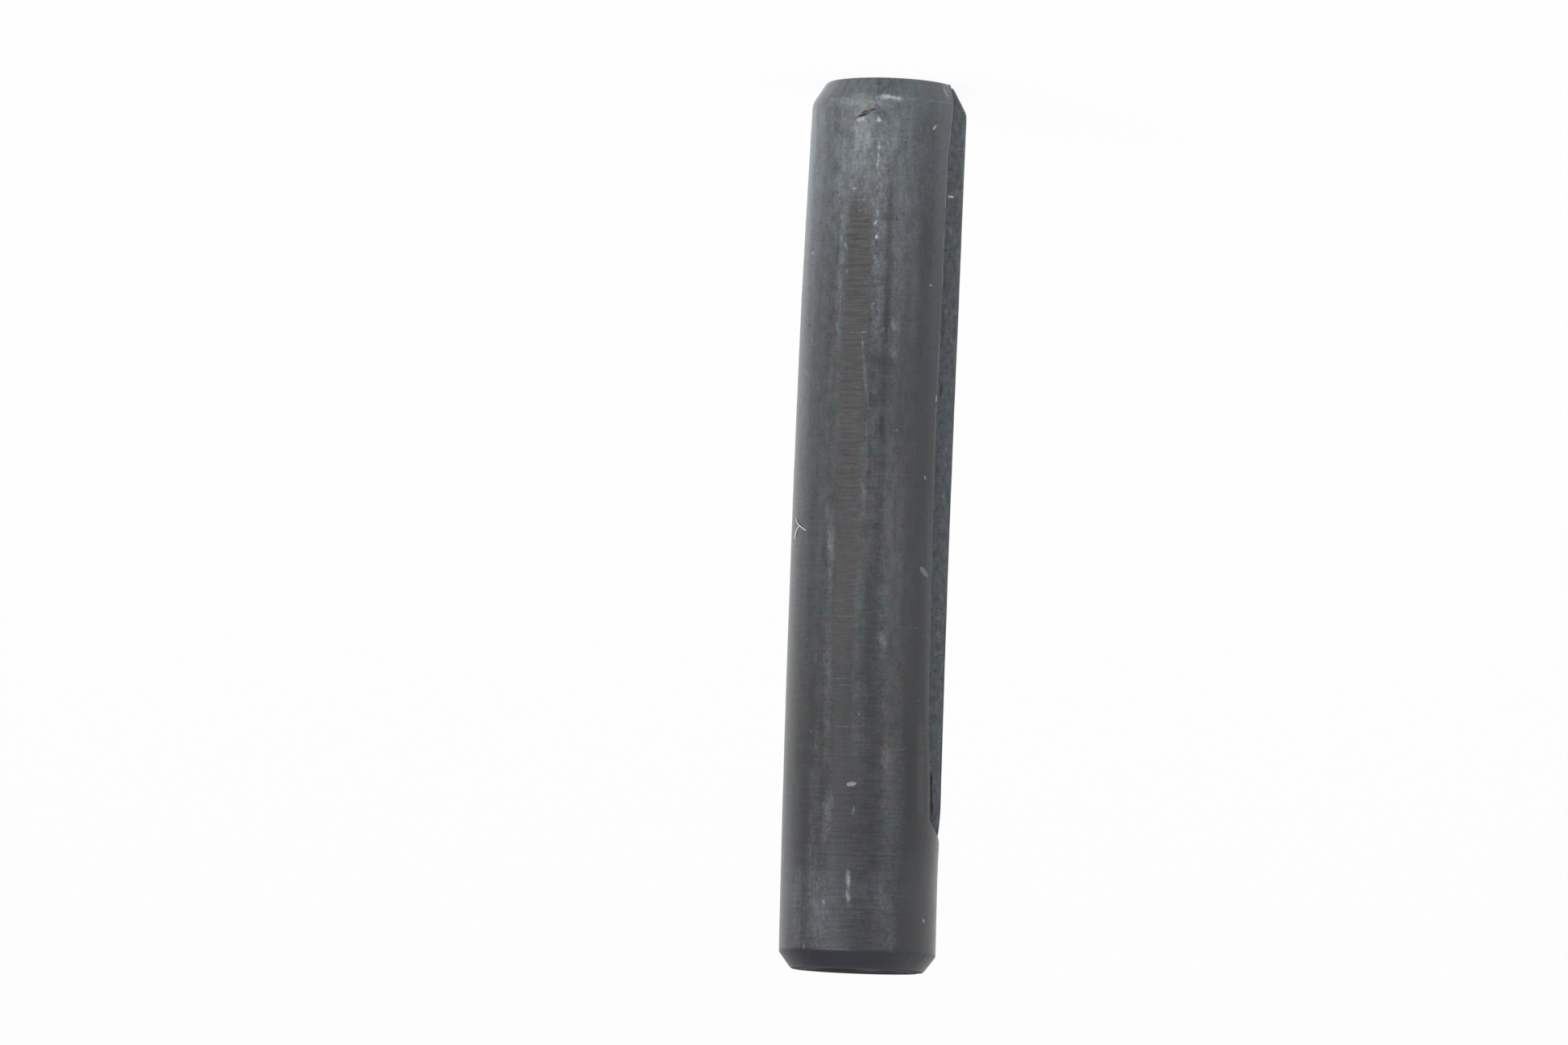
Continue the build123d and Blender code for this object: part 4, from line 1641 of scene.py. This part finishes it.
def make_lint():
    """The forked fibre as one mesh."""
    curve = bpy.data.curves.new("lint_fibre", "CURVE")
    curve.dimensions = "3D"
    curve.bevel_depth = LINT_RADIUS_MM * MM
    curve.bevel_resolution = 2
    curve.use_fill_caps = True
    for path in LINT_PATHS:
        spline = curve.splines.new("BEZIER")
        spline.bezier_points.add(len(path) - 1)
        for knot, pixel, lift in zip(spline.bezier_points, path, LINT_LIFT_MM):
            point, normal = seen_at(pixel)
            knot.co = point + normal * lift * MM
            knot.handle_left_type = knot.handle_right_type = "AUTO"
    piece = plain_copy(add_object("carrier", curve), "lint_fibre")
    piece.data.materials.clear()
    piece.data.materials.append(matte_material("lint", LINT_ROUGHNESS, colour=LINT_COLOUR))
    piece.data.shade_smooth()
    return piece


lint = make_lint()
print("lint fibre:", len(lint.data.polygons), "faces")

# %% [markdown]
# ## The floor
# The pin stands on a white sheet. To the camera, and in the pin's own reflections, the sheet shows as
# plain white, while it keeps a faint shadow and throws only a moderate light on the pin. The Light Path
# node tells these cases apart, and it stays in the material, because the export can't read it in a group.

# %% Floor
FLOOR_SIZE = 6.0
FLOOR_COLOUR = (0.94, 0.94, 0.94)
FLOOR_WHITE_SHARE = 0.93


def white_to_lens(tree, share):
    """How far a surface shows as plain white: to the camera, and in reflections and glass."""
    seen_by = tree.nodes.new("ShaderNodeLightPath").outputs
    seen = calc("MAXIMUM", Wire(seen_by["Is Camera Ray"]), Wire(seen_by["Is Glossy Ray"]))
    return calc("MAXIMUM", seen, Wire(seen_by["Is Transmission Ray"])) * share


def shows_white(tree, share, plain, white, output):
    """Mixes a plain shader and a white one by what looks at them, and ends the tree."""
    both = {0: white_to_lens(tree, share), 1: Wire(plain.outputs[0]), 2: Wire(white.outputs[0])}
    add_node(tree, output, {"Surface": wire("ShaderNodeMixShader", both)})


def make_floor():
    """A pale floor that keeps a faint shadow."""
    half = FLOOR_SIZE / 2
    corners = [(-half, -half, 0), (half, -half, 0), (half, half, 0), (-half, half, 0)]
    floor = add_object("floor", bpy.data.meshes.new("floor"))
    floor.data.from_pydata(corners, [], [(0, 1, 2, 3)])
    material = bpy.data.materials.new("floor_white")
    material.use_nodes = True
    tree = material.node_tree
    tree.nodes.clear()
    matte = add_node(tree, "ShaderNodeBsdfDiffuse", {"Color": FLOOR_COLOUR})
    white = add_node(tree, "ShaderNodeEmission", {"Color": WHITE, "Strength": 1.0})
    shows_white(tree, FLOOR_WHITE_SHARE, matte, white, "ShaderNodeOutputMaterial")
    floor.data.materials.append(material)


make_floor()
print("floor:", FLOOR_SIZE, "m wide")

# %% [markdown]
# ## The world and the lamp
# Even light from all round lights the pin as a white tent does. One small lamp from the left adds the
# gentle shading round the pin. The world is white to the camera and a little darker as light.

# %% World and lamp
WORLD_LIGHT = 0.8
LAMP_PLACE = (0.22, -0.32, 0.18)
LAMP_SIZE = 0.3
LAMP_WATTS = 0.8


def make_world():
    """White to the lens, and a softer white as light."""
    world = bpy.data.worlds.new("studio")
    bpy.context.scene.world = world
    world.use_nodes = True
    tree = world.node_tree
    tree.nodes.clear()
    light = add_node(tree, "ShaderNodeBackground", {"Color": WHITE, "Strength": WORLD_LIGHT})
    seen = add_node(tree, "ShaderNodeBackground", {"Color": WHITE, "Strength": 1.0})
    shows_white(tree, 1.0, light, seen, "ShaderNodeOutputWorld")


def add_lamp(name, place, target, size, watts):
    """A square area lamp that faces a target. Places are in metres."""
    lamp = add_object(name, bpy.data.lights.new(name, "AREA"))
    lamp.data.size = size
    lamp.data.energy = watts
    lamp.location = place
    lamp.rotation_euler = (Vector(place) - target).to_track_quat("Z", "Y").to_euler()


make_world()
add_lamp("key", LAMP_PLACE, pin_middle, LAMP_SIZE, LAMP_WATTS)
bpy.context.scene.view_settings.view_transform = "Standard"
print("lamp", round((Vector(LAMP_PLACE) - pin_middle).length, 2), "m from the pin's middle")

# %% [markdown]
# ## Riding on the body
# The pin is one piece, so everything rides on the one body, and the rolled mesh stands for the solid.

# %% Ride and finish
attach(pin, "root")
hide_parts("spring_pin")
for speck in (dust, lint):
    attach(speck, "root")
print("riding on the body:", [piece.name for piece in (pin, dust, lint)])
